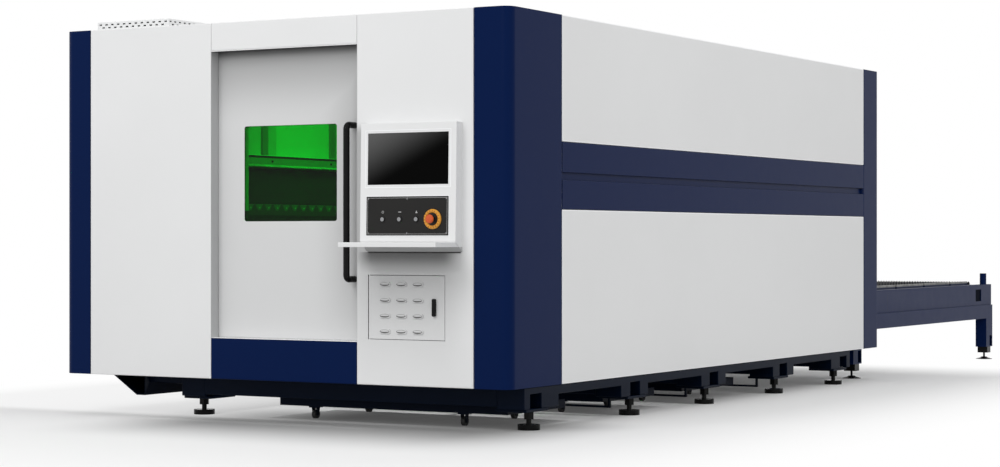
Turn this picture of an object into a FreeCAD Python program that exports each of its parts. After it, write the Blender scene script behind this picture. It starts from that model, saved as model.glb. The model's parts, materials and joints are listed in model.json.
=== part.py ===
import FreeCAD
import Part
import math
import os

# Enclosed fiber laser cutting machine with a pallet exchange table, in millimetres.
# Every place is given by three distances: inset from the right-hand side, depth behind the front
# panels and height above the floor. +X points to the machine's right, +Y to its back, +Z up.

# ---- driving dimensions: whole machine ----
ENCLOSURE_WIDTH = 2973.0
ENCLOSURE_DEPTH = 5305.0
ENCLOSURE_TOP = 2205.0
PANEL_BOTTOM = 228.0
SHELF_REACH = 265.0
TABLE_REACH = 3128.0
SHEET = 3.0
PAN_DEPTH = 40.0
SEAM = 4.0

RIGHT = ENCLOSURE_WIDTH / 2
FRONT = SHELF_REACH - (SHELF_REACH + ENCLOSURE_DEPTH + TABLE_REACH) / 2
TABLE_END = ENCLOSURE_DEPTH + TABLE_REACH

# ---- enclosure ----
RIGHT_COLUMN_FRONT = 214.0
LEFT_COLUMN_FRONT = 188.5
COLUMN_SIDE = 563.0
COLUMN_RADIUS = 60.0
REAR_POST_SIDE = 277.0
REAR_POST_RADIUS = 16.0
BAND_HEIGHTS = (1162.0, 1527.0)
BAND_GROOVE = (1322.0, 1362.0)
BAND_GROOVE_DEPTH = 18.0
DOORWAY_INSETS = (941.0, 1916.0)
HEADER_BOTTOM = 2050.0
KICK_TOP = 451.0
KICK_LEDGE = 130.0
ROOF_HEIGHTS = (2158.0, 2194.0)
ROOF_SHEETS = 3
VENT_INSETS = (2334.0, 2856.0)
VENT_DEPTHS = (150.0, 500.0)
VENT_TOP = 2266.0
VENT_SLOT = (19.0, 8.0)
VENT_PITCH = (43.5, 17.0)
PALLET_PORTAL = ((134.0, 2128.0), 780.0)

# ---- sliding front door ----
DOOR_FACE = 70.0
DOOR_THICKNESS = 40.0
DOOR_INSETS = (919.0, 1946.0)
DOOR_HEIGHTS = (457.0, 2088.0)
WINDOW_INSETS = (1118.0, 1737.0)
WINDOW_HEIGHTS = (1102.0, 1629.0)
WINDOW_RADIUS = 14.0
SEAL_RIM = 22.0
GLASS_THICKNESS = 6.0
PANE_GAP = 1.0
HANDLE_INSET = 1002.0
HANDLE_DEPTH = -10.0
HANDLE_HEIGHTS = (771.0, 1634.0)
HANDLE_RADIUS = 17.5
HANDLE_BEND = 24.0
TRACK_INSETS = (926.0, 2872.0)
TRACK_DEPTHS = (60.0, 120.0)
TRACK_HEIGHTS = (2106.0, 2156.0)
TRACK_WALL = 4.0
HANGER_INSETS = (1040.0, 1824.0)
ROLLER_RADIUS = 18.0

# ---- operator console ----
CONSOLE_INSETS = (284.0, 877.0)
CONSOLE_HEIGHTS = (990.0, 1615.0)
CONSOLE_CHIN = 935.0
CONSOLE_PROUD = (69.0, 57.0)
SCREEN_INSETS = (331.0, 831.0)
SCREEN_HEIGHTS = (1290.0, 1563.0)
PLATE_INSETS = (327.0, 835.0)
PLATE_HEIGHTS = (1023.0, 1228.0)
PLATE_THICKNESS = 3.0
BUTTON_INSETS = (731.0, 626.0, 522.0)
BUTTON_HEIGHT = 1108.0
BUTTON_RADIUS = 11.0
BEZEL_RADIUS = 14.0
ESTOP_INSET = 421.0
ESTOP_RING_RADII = (34.0, 52.0)
ESTOP_HEAD_RADIUS = 23.0
SHELF_INSETS = (286.0, 886.0)
SHELF_HEIGHTS = (963.0, 987.0)

# ---- cabinet door below the console ----
CABINET_INSETS = (392.0, 867.5)
CABINET_HEIGHTS = (474.0, 811.0)
CABINET_GAP = 3.0
CABINET_BOX_DEPTH = 260.0
KNUCKLE_RADIUS = 5.0
HINGE_PIN_RADIUS = 3.0
RUNNING_GAP = 0.05
LOUVRE_INSETS = (762.0, 659.0, 556.0)
LOUVRE_HEIGHTS = (765.0, 681.0, 598.0, 515.0)
LOUVRE_SIZE = (67.0, 23.0)
LOUVRE_REACH = 5.5
LATCH_INSET = 454.0
LATCH_HEIGHTS = (598.0, 691.0)
LATCH_WIDTH = 22.0

# ---- machine bed ----
BED_INSETS = (10.0, 2252.0)
BED_DEPTHS = (169.0, 4790.0)
RAIL_BOTTOM = 178.0
LEG_BOTTOM = 112.0
LEG_WIDTH = 165.0
LEG_DEPTHS = ((169.0, 544.0), (1277.0, 1620.0), (2343.0, 2700.0), (3433.0, 3779.0), (4439.0, 4790.0))
POCKET_DEPTHS = (294.0, 1454.0, 2524.0, 3605.0, 4664.0)
POCKET_SIZE = (120.0, 192.0)
BED_WALL = (60.0, 225.0)
BED_WALL_TOP = 900.0
BED_PLATE = 8.0
FOOT_DEPTHS = (310.0, 1480.0, 2494.0, 3569.0, 4605.0)
FOOT_INSET = 62.0
FOOT_PLATE = (185.0, 240.0, 15.0)
CROSS_BEAM_DEPTH = 60.0
CROSS_BEAM_HEIGHTS = (125.0, 300.0)
OUTRIGGER_INSETS = (2517.0, 2581.0, 2770.0)
OUTRIGGER_BOTTOM = 105.0
OUTRIGGER_DEPTHS = (170.0, 5100.0)

# ---- levelling feet ----
PAD_RADIUS = 60.0
PAD_HEIGHT = 29.0
STUD_RADIUS = 14.0
NUT_RADIUS = 29.0
NUT_HEIGHTS = (56.0, 97.0)
CONE_PAD_RADIUS = 67.0
CONE_PAD_HEIGHT = 20.0

# ---- motion system ----
GUIDE_INSET = 142.0
GUIDE_SIZE = (30.0, 28.0)
GANTRY_DEPTHS = (4390.0, 4785.0)
BEAM_DEPTHS = (4440.0, 4640.0)
BEAM_HEIGHTS = (960.0, 1190.0)
CROSS_RAIL_HEIGHTS = (990.0, 1160.0)
CROSS_RAIL = 20.0
CARRIAGE_WIDTH = 250.0
HEAD_DEPTH = 4285.0
HEAD_RADIUS = 42.0
NOZZLE_TIP = 800.0
WALL_INSET = 2300.0
LEDGE_HEIGHTS = (1441.0, 1508.0)
LEDGE_REACH = 40.0
TRAY_TOP = 1148.0
CHAIN_INSETS = (2284.0, 2360.0)
CHAIN_TOP = 1430.0
LINK_HEIGHT = 65.0
LINK_PITCH = 92.0
PLEAT_PITCH = 60.0
PLEAT_DEPTH = 24.0

# ---- exchange table and its two pallets ----
TABLE_CENTRE = (BED_INSETS[0] + BED_INSETS[1]) / 2
TABLE_START = 4796.0
TABLE_OUTER = 150.0
UPPER_BEAM_INSET = 165.0
BEAM_INNER = 225.0
UPPER_BEAM_HEIGHTS = (454.0, 625.0)
LOWER_BEAM_HEIGHTS = (342.0, 454.0)
TABLE_LEG_DEPTHS = (8258.0, 8420.0)
TABLE_LEG_INNER = 242.0
TABLE_LEG_BOTTOM = 104.0
PALLET_INSETS = (256.0, 2006.0)
PALLET_DEPTHS = (4960.0, 8290.0)
PALLET_TRAVEL = 3860.0
PALLET_FRAME_HEIGHTS = (560.0, 622.0)
PALLET_TUBE = 50.0
PALLET_DROP = 190.0
PALLET_WHEELS = 4
COMB_HEIGHT = 31.0
COMB_JOINTS = (170.0, 799.0, 1428.0, 2057.0, 2686.0)
COMB_END = 3140.0
SLAT_TOP = 650.0
SLAT_THICKNESS = 4.0
SLAT_PITCH = 66.0
SLAT_TEETH = 8
SLAT_TOOTH = 14.0
WHEEL_RADIUS = 28.0
WHEEL_LIFT = 22.0
RAIL_LIP = (253.0, 10.0)

# ---- scrap trays under the bed ----
TRAY_INSETS = (201.0, 1681.0)
TRAY_DEPTHS = ((330.0, 965.0), (1420.0, 2085.0), (2466.0, 3236.0))
TRAY_HEIGHTS = (70.0, 117.0)
CASTER_INSETS = (488.0, 1460.0)
CASTER_DEPTHS = (364.0, 903.0, 1453.0, 2027.0, 2499.0, 3177.0)
CASTER_RADIUS = 25.0
CASTER_WIDTH = 22.0
CASTER_PIN = 4.0


# ---- helpers ----
def at(inset, depth, height):
    """The point at these distances from the right side, the front panels and the floor."""
    return FreeCAD.Vector(RIGHT - inset, FRONT + depth, height)


def block(insets, depths, heights):
    """A rectangular solid between two insets, two depths and two heights."""
    corner = at(insets[1], depths[0], heights[0])
    return Part.makeBox(insets[1] - insets[0], depths[1] - depths[0], heights[1] - heights[0], corner)


def prism(points, sweep):
    """The solid swept by the closed polygon through the points."""
    return Part.Face(Part.makePolygon(points + points[:1])).extrude(sweep)


def along_x(outline, insets):
    """An outline of (depth, height) points carried across the machine."""
    points = [at(insets[1], depth, height) for depth, height in outline]
    return prism(points, FreeCAD.Vector(insets[1] - insets[0], 0, 0))


def along_y(outline, depths):
    """An outline of (inset, height) points carried towards the back."""
    points = [at(inset, depths[0], height) for inset, height in outline]
    return prism(points, FreeCAD.Vector(0, depths[1] - depths[0], 0))


def along_z(outline, heights):
    """An outline of (inset, depth) points carried upwards."""
    points = [at(inset, depth, heights[0]) for inset, depth in outline]
    return prism(points, FreeCAD.Vector(0, 0, heights[1] - heights[0]))


def rod(radius, start, end):
    """A round bar between two points."""
    axis = end - start
    return Part.makeCylinder(radius, axis.Length, start, axis)


def mirrored(shape):
    """The same piece on the other side of the enclosure."""
    return shape.mirror(FreeCAD.Vector(0, 0, 0), FreeCAD.Vector(1, 0, 0))


def across_bed(shape):
    """The same piece on the other side of the bed and table."""
    return shape.mirror(at(TABLE_CENTRE, 0, 0), FreeCAD.Vector(1, 0, 0))


def shrunk(span, amount):
    """A span with its two ends drawn in by the same amount."""
    return (span[0] + amount, span[1] - amount)


def round_edges(shape, direction, radius):
    """Round the straight edges that run along one direction."""
    edges = []
    for edge in shape.Edges:
        if edge.Curve.TypeId == "Part::GeomLine":
            if abs(edge.tangentAt(edge.FirstParameter).dot(direction)) > 0.999:
                edges.append(edge)
    return shape.makeFillet(radius, edges)


def front_pan(insets, heights, depth=PAN_DEPTH):
    """A sheet facing the front, with its four edges folded back."""
    outer = block(insets, (0, depth), heights)
    inner = block(shrunk(insets, SHEET), (SHEET, depth), shrunk(heights, SHEET))
    return outer.cut(inner)


def side_pan(depths, heights):
    """A sheet facing the right-hand side, with its four edges folded in."""
    outer = block((0, PAN_DEPTH), depths, heights)
    inner = block((SHEET, PAN_DEPTH), shrunk(depths, SHEET), shrunk(heights, SHEET))
    return outer.cut(inner)


def tube_along_y(insets, depths, heights, wall):
    """A rectangular tube that runs from front to back, open at its ends."""
    outer = block(insets, depths, heights)
    return outer.cut(block(shrunk(insets, wall), depths, shrunk(heights, wall)))


def tube_along_x(insets, depths, heights, wall):
    """A rectangular tube that runs across the machine, open at its ends."""
    outer = block(insets, depths, heights)
    return outer.cut(block(insets, shrunk(depths, wall), shrunk(heights, wall)))


def save(name, shape):
    """Write one sub-part as its own file."""
    shape.exportStep("parts/" + name + ".step")


# ---- enclosure ----
def column(front_width, side_length, radius, heights):
    """A corner column: one sheet folded round the corner, with its two long edges turned in."""
    lip = PAN_DEPTH - 10
    centre = at(radius, radius, heights[0])

    def corner_arc(reach):
        start = centre + FreeCAD.Vector(0, -reach, 0)
        middle = centre + FreeCAD.Vector(reach * math.sqrt(0.5), -reach * math.sqrt(0.5), 0)
        end = centre + FreeCAD.Vector(reach, 0, 0)
        return start, Part.Arc(start, middle, end).toShape(), end

    def leg(*points):
        return Part.makePolygon([at(inset, depth, heights[0]) for inset, depth in points]).Edges

    start, outer, end = corner_arc(radius)
    start, inner, end = corner_arc(radius - SHEET)
    edges = leg((front_width, 0), (radius, 0)) + [outer]
    edges += leg((0, radius), (0, side_length), (lip, side_length), (lip, side_length - SHEET),
                 (SHEET, side_length - SHEET), (SHEET, radius)) + [inner]
    edges += leg((radius, SHEET), (front_width - SHEET, SHEET), (front_width - SHEET, lip),
                 (front_width, lip), (front_width, 0))
    outline = Part.Wire(Part.__sortEdges__(edges))
    return Part.Face(outline).extrude(FreeCAD.Vector(0, 0, heights[1] - heights[0]))


def rear_post():
    """A rear post: the front column's section, shorter, turned to face the back."""
    post = column(PALLET_PORTAL[0][0] - SEAM, REAR_POST_SIDE - SEAM, REAR_POST_RADIUS,
                  (PANEL_BOTTOM, ENCLOSURE_TOP))
    return post.mirror(at(0, ENCLOSURE_DEPTH / 2, 0), FreeCAD.Vector(0, 1, 0))


def front_right_panel():
    """The white panel right of the door, with the cabinet's opening cut in it."""
    insets = (RIGHT_COLUMN_FRONT + SEAM, DOORWAY_INSETS[0])
    panel = front_pan(insets, (PANEL_BOTTOM, ENCLOSURE_TOP))
    opening = block(shrunk(CABINET_INSETS, -CABINET_GAP), (-1, PAN_DEPTH),
                    shrunk(CABINET_HEIGHTS, -CABINET_GAP))
    return panel.cut(opening)


def kick_panel():
    """The navy panel under the door, whose top folds back into the doorway's ledge."""
    low, high = PANEL_BOTTOM, KICK_TOP
    outline = [(0, low), (0, high), (KICK_LEDGE, high), (KICK_LEDGE, high - 40),
               (KICK_LEDGE - SHEET, high - 40), (KICK_LEDGE - SHEET, high - SHEET), (SHEET, high - SHEET),
               (SHEET, low + SHEET), (PAN_DEPTH, low + SHEET), (PAN_DEPTH, low)]
    return along_x(outline, shrunk(DOORWAY_INSETS, SEAM / 2))


def side_band():
    """The navy band along the side, folded with a recessed groove at its middle."""
    low, high = shrunk(BAND_HEIGHTS, SEAM / 2)
    dent = BAND_GROOVE_DEPTH
    outline = [(0, low), (0, BAND_GROOVE[0]), (dent, BAND_GROOVE[0]), (dent, BAND_GROOVE[1]),
               (0, BAND_GROOVE[1]), (0, high), (PAN_DEPTH, high), (PAN_DEPTH, high - SHEET),
               (SHEET, high - SHEET), (SHEET, BAND_GROOVE[1] + SHEET),
               (dent + SHEET, BAND_GROOVE[1] + SHEET), (dent + SHEET, BAND_GROOVE[0] - SHEET),
               (SHEET, BAND_GROOVE[0] - SHEET), (SHEET, low + SHEET), (PAN_DEPTH, low + SHEET),
               (PAN_DEPTH, low)]
    band = along_y(outline, side_depths())
    end = side_depths()[1]
    cap = block((1, dent), (end - 12, end - 4), BAND_GROOVE)
    return band.fuse(cap)


def side_depths():
    """Where the side panels begin and end."""
    return (COLUMN_SIDE + SEAM, ENCLOSURE_DEPTH - REAR_POST_SIDE)


def rear_panel():
    """The back wall, cut out below so that the pallets pass."""
    insets = (PALLET_PORTAL[0][0], ENCLOSURE_WIDTH - PALLET_PORTAL[0][0])
    heights = (PANEL_BOTTOM, ENCLOSURE_TOP)
    depths = (ENCLOSURE_DEPTH - PAN_DEPTH, ENCLOSURE_DEPTH - 2)
    outer = block(insets, depths, heights)
    inner = block(shrunk(insets, SHEET), (depths[0], depths[1] - SHEET), shrunk(heights, SHEET))
    pan = outer.cut(inner)
    portal_heights = (PANEL_BOTTOM - 1, PALLET_PORTAL[1])
    portal = block((insets[0] - 1, PALLET_PORTAL[0][1]), (depths[0], depths[1]), portal_heights)
    rim_heights = (PANEL_BOTTOM, PALLET_PORTAL[1] + SHEET)
    rim_outer = block((insets[0], PALLET_PORTAL[0][1] + SHEET), depths, rim_heights)
    pan = pan.fuse(rim_outer.cut(portal)).cut(portal)
    return pan.removeSplitter()


def roof_panels():
    """Roof sheets side by side, each folded down along its edges."""
    sheets = []
    start = PAN_DEPTH + SEAM
    pitch = (ENCLOSURE_DEPTH - 2 * start) / ROOF_SHEETS
    for number in range(ROOF_SHEETS):
        depths = (start + number * pitch, start + (number + 1) * pitch - SEAM)
        insets = (PAN_DEPTH + SEAM, ENCLOSURE_WIDTH - PAN_DEPTH - SEAM)
        outer = block(insets, depths, ROOF_HEIGHTS)
        hollow = (ROOF_HEIGHTS[0], ROOF_HEIGHTS[1] - SHEET)
        inner = block(shrunk(insets, SHEET), shrunk(depths, SHEET), hollow)
        sheets.append(outer.cut(inner))
    return Part.Compound(sheets)


def slot_rows(first, last, low, high):
    """Centres of vent slots: columns between two distances, every other row set over half a pitch."""
    places = []
    rows = int((high - low) // VENT_PITCH[1])
    for row in range(rows):
        shift = VENT_PITCH[0] / 2 * (row % 2)
        column_count = int((last - first - shift) // VENT_PITCH[0]) + 1
        for number in range(column_count):
            places.append((first + shift + number * VENT_PITCH[0], high - (row + 0.5) * VENT_PITCH[1]))
    return places


def roof_vent():
    """The vent housing on the roof: a folded box with rows of slots in its walls."""
    low = ROOF_HEIGHTS[1]
    shell = block(VENT_INSETS, VENT_DEPTHS, (low, VENT_TOP))
    shell = shell.cut(block(shrunk(VENT_INSETS, SHEET), shrunk(VENT_DEPTHS, SHEET), (low, VENT_TOP - SHEET)))
    half_width, half_height = VENT_SLOT[0] / 2, VENT_SLOT[1] / 2
    slots = []
    for inset, height in slot_rows(VENT_INSETS[0] + 20, VENT_INSETS[1] - 12, low + 8, VENT_TOP - 8):
        slots.append(block((inset - half_width, inset + half_width),
                           (VENT_DEPTHS[0] - 1, VENT_DEPTHS[0] + 2 * SHEET),
                           (height - half_height, height + half_height)))
    for depth, height in slot_rows(VENT_DEPTHS[0] + 20, VENT_DEPTHS[1] - 16, low + 8, VENT_TOP - 8):
        slots.append(block((VENT_INSETS[0] - 1, VENT_INSETS[0] + 2 * SHEET),
                           (depth - half_width, depth + half_width),
                           (height - half_height, height + half_height)))
    return shell.cut(Part.Compound(slots))


# ---- sliding door ----
def door_panel():
    """The door's folded sheet, with the window cut through it."""
    outer = block(DOOR_INSETS, (DOOR_FACE, DOOR_FACE + DOOR_THICKNESS), DOOR_HEIGHTS)
    hollow = (DOOR_FACE + SHEET, DOOR_FACE + DOOR_THICKNESS)
    inner = block(shrunk(DOOR_INSETS, SHEET), hollow, shrunk(DOOR_HEIGHTS, SHEET))
    sheet = outer.cut(inner).cut(window_block(0, (DOOR_FACE - 1, DOOR_FACE + 2 * SHEET)))
    return sheet.fuse(window_frame())


def window_block(rim, depths):
    """The window's outline, grown by a rim, between two depths."""
    shape = block(shrunk(WINDOW_INSETS, -rim), depths, shrunk(WINDOW_HEIGHTS, -rim))
    return round_edges(shape, FreeCAD.Vector(0, 1, 0), WINDOW_RADIUS + rim)


def window_frame():
    """The pressed frame behind the door's sheet: a pocket round the pane and a deep return behind it."""
    front, back = DOOR_FACE + SHEET, DOOR_FACE + 2 * SHEET + GLASS_THICKNESS
    rim = window_block(SEAL_RIM + 2 * SHEET, (front, back + SHEET))
    rim = rim.cut(window_block(SEAL_RIM + PANE_GAP, (front, back)))
    depths = (back, DOOR_FACE + DOOR_THICKNESS)
    jamb = window_block(SHEET, depths)
    return rim.fuse(jamb).cut(window_block(0, depths))


def window_seal():
    """The rubber seal between the door's sheet and the glass."""
    depths = (DOOR_FACE + SHEET, DOOR_FACE + 2 * SHEET)
    return window_block(SEAL_RIM, depths).cut(window_block(0, depths))


def window_glass():
    """The green laser-safe window pane behind the seal."""
    start = DOOR_FACE + 2 * SHEET
    return window_block(SEAL_RIM, (start, start + GLASS_THICKNESS))


def door_handle():
    """One bent tube whose two ends stand on the door."""
    tip = HANDLE_RADIUS
    low, high = HANDLE_HEIGHTS[0] + tip, HANDLE_HEIGHTS[1] - tip
    bend = HANDLE_BEND
    slack = bend * (1 - math.sqrt(0.5))
    low_arc = Part.Arc(at(HANDLE_INSET, HANDLE_DEPTH + bend, low),
                       at(HANDLE_INSET, HANDLE_DEPTH + slack, low + slack),
                       at(HANDLE_INSET, HANDLE_DEPTH, low + bend))
    high_arc = Part.Arc(at(HANDLE_INSET, HANDLE_DEPTH, high - bend),
                        at(HANDLE_INSET, HANDLE_DEPTH + slack, high - slack),
                        at(HANDLE_INSET, HANDLE_DEPTH + bend, high))
    path = [Part.LineSegment(at(HANDLE_INSET, DOOR_FACE, low),
                             at(HANDLE_INSET, HANDLE_DEPTH + bend, low)).toShape(),
            low_arc.toShape(),
            Part.LineSegment(at(HANDLE_INSET, HANDLE_DEPTH, low + bend),
                             at(HANDLE_INSET, HANDLE_DEPTH, high - bend)).toShape(),
            high_arc.toShape(),
            Part.LineSegment(at(HANDLE_INSET, HANDLE_DEPTH + bend, high),
                             at(HANDLE_INSET, DOOR_FACE, high)).toShape()]
    ring = Part.Circle(at(HANDLE_INSET, DOOR_FACE, low), FreeCAD.Vector(0, 1, 0), HANDLE_RADIUS)
    return Part.Wire(path).makePipeShell([Part.Wire(ring.toShape())], True, False)


def door_hangers():
    """Two hangers on the door's top edge, each with a pair of rollers in the track."""
    middle = (TRACK_DEPTHS[0] + TRACK_DEPTHS[1]) / 2
    roller_height = TRACK_HEIGHTS[0] + TRACK_WALL + ROLLER_RADIUS + 0.4
    pieces = []
    for inset in HANGER_INSETS:
        base = DOOR_HEIGHTS[1]
        foot = block((inset - 45, inset + 45), (middle - 15, middle + 15), (base, base + 6))
        stem = block((inset - 35, inset + 35), (middle - 3, middle + 3), (base, roller_height + 8))
        hanger = foot.fuse(stem)
        for centre in (inset - 22, inset + 22):
            for near in (middle - 20, middle + 3):
                hanger = hanger.fuse(rod(ROLLER_RADIUS, at(centre, near, roller_height),
                                         at(centre, near + 17, roller_height)))
        pieces.append(hanger)
    return Part.Compound(pieces)


def door_tracks():
    """The top track with its brackets, and the guide that the door's foot runs in."""
    outer = block(TRACK_INSETS, TRACK_DEPTHS, TRACK_HEIGHTS)
    inner = block(TRACK_INSETS, shrunk(TRACK_DEPTHS, TRACK_WALL), shrunk(TRACK_HEIGHTS, TRACK_WALL))
    middle = (TRACK_DEPTHS[0] + TRACK_DEPTHS[1]) / 2
    slot = block(TRACK_INSETS, (middle - 6, middle + 6), (TRACK_HEIGHTS[0], TRACK_HEIGHTS[0] + TRACK_WALL))
    track = outer.cut(inner).cut(slot)
    for inset in (DOORWAY_INSETS[0] + 30, DOORWAY_INSETS[1] - 60, DOORWAY_INSETS[1] + 60, 2700):
        track = track.fuse(block((inset, inset + 30), (SHEET, TRACK_DEPTHS[0]), shrunk(TRACK_HEIGHTS, 10)))
    low, high = DOOR_HEIGHTS[0] - 14, DOOR_HEIGHTS[0] + 40
    near, far = DOOR_FACE - 1, DOOR_FACE + DOOR_THICKNESS + 1
    outline = [(SHEET, low), (SHEET, low + 6), (near - 6, low + 6), (near - 6, high), (near, high),
               (near, low + 8), (far, low + 8), (far, high), (far + 6, high), (far + 6, low)]
    guide = along_x(outline, (DOORWAY_INSETS[1] + 20, DOORWAY_INSETS[1] + 100))
    return Part.Compound([track, guide])


# ---- operator console ----
def on_console(shape):
    """Tilt a piece drawn upright on the console's lower edge onto the sloping console front."""
    lean = math.atan2(CONSOLE_PROUD[0] - CONSOLE_PROUD[1], CONSOLE_HEIGHTS[1] - CONSOLE_HEIGHTS[0])
    placed = shape.copy()
    placed.rotate(at(0, 0, CONSOLE_HEIGHTS[0]), FreeCAD.Vector(1, 0, 0), -math.degrees(lean))
    placed.translate(FreeCAD.Vector(0, -CONSOLE_PROUD[0], 0))
    return placed


def console_housing():
    """The console's folded shell: a leaning front over a chin that slopes back to the panel."""
    low, high = CONSOLE_HEIGHTS
    reach = CONSOLE_PROUD
    outer = along_x([(0, CONSOLE_CHIN), (-reach[0], low), (-reach[1], high), (0, high)], CONSOLE_INSETS)
    inner = along_x([(0, CONSOLE_CHIN + 2 * SHEET), (SHEET - reach[0], low + SHEET),
                     (SHEET - reach[1], high - SHEET), (0, high - SHEET)], shrunk(CONSOLE_INSETS, SHEET))
    screen_hole = on_console(block(SCREEN_INSETS, (-5, 8), SCREEN_HEIGHTS))
    plate_hole = on_console(block(shrunk(PLATE_INSETS, 12), (-5, 8), shrunk(PLATE_HEIGHTS, 12)))
    return outer.cut(inner).cut(screen_hole).cut(plate_hole)


def console_screen():
    """The flat monitor set into the console, its glass just behind the front."""
    glass = block(SCREEN_INSETS, (1, 5), SCREEN_HEIGHTS)
    case = block(shrunk(SCREEN_INSETS, -12), (SHEET + 0.1, 34), shrunk(SCREEN_HEIGHTS, -12))
    return on_console(glass.fuse(case))


def operator_hole(inset, radius):
    """The space of a round hole through the control plate and its bezel."""
    return rod(radius, at(inset, -PLATE_THICKNESS - 5, BUTTON_HEIGHT), at(inset, 1, BUTTON_HEIGHT))


def control_plate():
    """The dark plate that carries the push buttons and the emergency stop, with its bezels."""
    plate = block(PLATE_INSETS, (-PLATE_THICKNESS, 0), PLATE_HEIGHTS)
    for inset in BUTTON_INSETS:
        front = at(inset, -PLATE_THICKNESS - 4, BUTTON_HEIGHT)
        plate = plate.fuse(rod(BEZEL_RADIUS, front, at(inset, 0, BUTTON_HEIGHT)))
        plate = plate.cut(operator_hole(inset, BUTTON_RADIUS + RUNNING_GAP))
    plate = plate.cut(operator_hole(ESTOP_INSET, 11))
    return on_console(plate)


def push_button(inset):
    """A metal push button that slides in its bezel, with a stem behind the plate."""
    cap = rod(BUTTON_RADIUS, at(inset, -PLATE_THICKNESS - 8, BUTTON_HEIGHT), at(inset, 2, BUTTON_HEIGHT))
    stem = rod(BUTTON_RADIUS - 5, at(inset, 2, BUTTON_HEIGHT), at(inset, 22, BUTTON_HEIGHT))
    return on_console(cap.fuse(stem))


def revolved(profile, inset, depth, height, axis):
    """A turned piece: its profile of (radius, distance along the axis) points spun once."""
    side = FreeCAD.Vector(1, 0, 0) if abs(axis.x) < 0.5 else FreeCAD.Vector(0, 0, 1)
    origin = at(inset, depth, height)
    points = [origin + side * radius + axis * along for radius, along in profile]
    face = Part.Face(Part.makePolygon(points + points[:1]))
    return face.revolve(origin, axis, 360)


def estop_ring():
    """The yellow guard ring round the emergency stop, with a sunk middle."""
    inner, outer = ESTOP_RING_RADII
    profile = [(14, 0), (outer, 0), (outer, 6), (outer - 5, 13), (inner + 5, 13), (inner, 8),
               (inner, 3), (14, 3)]
    ring = revolved(profile, ESTOP_INSET, -PLATE_THICKNESS, BUTTON_HEIGHT, FreeCAD.Vector(0, -1, 0))
    return on_console(ring)


def estop_button():
    """The red mushroom button and its stem."""
    radius = ESTOP_HEAD_RADIUS
    profile = [(0, -30), (9, -30), (9, 18), (14, 26), (radius, 30), (radius, 38), (radius - 5, 44), (0, 46)]
    button = revolved(profile, ESTOP_INSET, -PLATE_THICKNESS, BUTTON_HEIGHT, FreeCAD.Vector(0, -1, 0))
    return on_console(button)


def keyboard_shelf():
    """The shelf under the console, folded down along its front and ends, cut to the console's chin."""
    low, high = SHELF_HEIGHTS
    slope = CONSOLE_PROUD[0] / (CONSOLE_HEIGHTS[0] - CONSOLE_CHIN)
    top_end, low_end = -(high - CONSOLE_CHIN) * slope, -(low - CONSOLE_CHIN) * slope
    outer = along_x([(-SHELF_REACH, low), (-SHELF_REACH, high), (top_end, high), (low_end, low)],
                    SHELF_INSETS)
    under_end = -(high - SHEET - CONSOLE_CHIN) * slope - SHEET
    inner = along_x([(SHEET - SHELF_REACH, low), (SHEET - SHELF_REACH, high - SHEET),
                     (under_end, high - SHEET), (low_end - SHEET, low)], shrunk(SHELF_INSETS, SHEET))
    return outer.cut(inner)


# ---- cabinet ----
def louvre(inset, height):
    """A pressed louvre: a shallow hood with rounded ends, open along its lower side."""
    half_width, half_height = LOUVRE_SIZE[0] / 2, LOUVRE_SIZE[1] / 2
    across, out = FreeCAD.Vector(0, 1, 0), LOUVRE_REACH
    outside = (inset - half_width, inset + half_width)
    hood = block(outside, (-out, 1), (height - half_height, height + half_height))
    hood = round_edges(hood, across, half_height - 1)
    inside = (inset - half_width + 2, inset + half_width - 2)
    hollow = block(inside, (2 - out, SHEET + 1), (height - half_height + 2, height + half_height - 2))
    hollow = round_edges(hollow, across, half_height - 3)
    mouth = block((inset - half_width + half_height, inset + half_width - half_height), (2 - out, 0),
                  (height - half_height - 1, height))
    return hood, hollow.fuse(mouth)


def cabinet_door():
    """The louvred door: a flat sheet whose hinge edge is rolled round the pins."""
    hinge = CABINET_INSETS[1] - KNUCKLE_RADIUS
    door = block((CABINET_INSETS[0], hinge), (0, SHEET), CABINET_HEIGHTS)
    lip_insets = (CABINET_INSETS[0], hinge - 40)
    lips = block(lip_insets, (0, 18), CABINET_HEIGHTS)
    lips = lips.cut(block((lip_insets[0] + SHEET, lip_insets[1]), (0, 18), shrunk(CABINET_HEIGHTS, SHEET)))
    roll = rod(KNUCKLE_RADIUS, at(hinge, KNUCKLE_RADIUS, CABINET_HEIGHTS[0]),
               at(hinge, KNUCKLE_RADIUS, CABINET_HEIGHTS[1]))
    door = door.fuse(lips).fuse(roll)
    for inset in LOUVRE_INSETS:
        for height in LOUVRE_HEIGHTS:
            hood, hollow = louvre(inset, height)
            door = door.fuse(hood).cut(hollow)
    door = door.cut(rod(HINGE_PIN_RADIUS + RUNNING_GAP, at(hinge, KNUCKLE_RADIUS, CABINET_HEIGHTS[0] - 1),
                        at(hinge, KNUCKLE_RADIUS, CABINET_HEIGHTS[1] + 1)))
    middle = sum(LATCH_HEIGHTS) / 2
    return door.cut(rod(8 + RUNNING_GAP, at(LATCH_INSET, -1, middle), at(LATCH_INSET, SHEET + 1, middle)))


def cabinet_latch():
    """The black turning latch: a rounded grip, its spindle and the cam behind the door."""
    middle = sum(LATCH_HEIGHTS) / 2
    half = LATCH_WIDTH / 2
    grip = block((LATCH_INSET - half, LATCH_INSET + half), (-11, -0.5), LATCH_HEIGHTS)
    grip = round_edges(grip, FreeCAD.Vector(0, 1, 0), half - 3)
    spindle = rod(8, at(LATCH_INSET, -1, middle), at(LATCH_INSET, 13, middle))
    cam = block((LATCH_INSET - 10, LATCH_INSET + 10), (9, 13), (middle - 10, middle + 38))
    return grip.fuse(spindle).fuse(cam)


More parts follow.
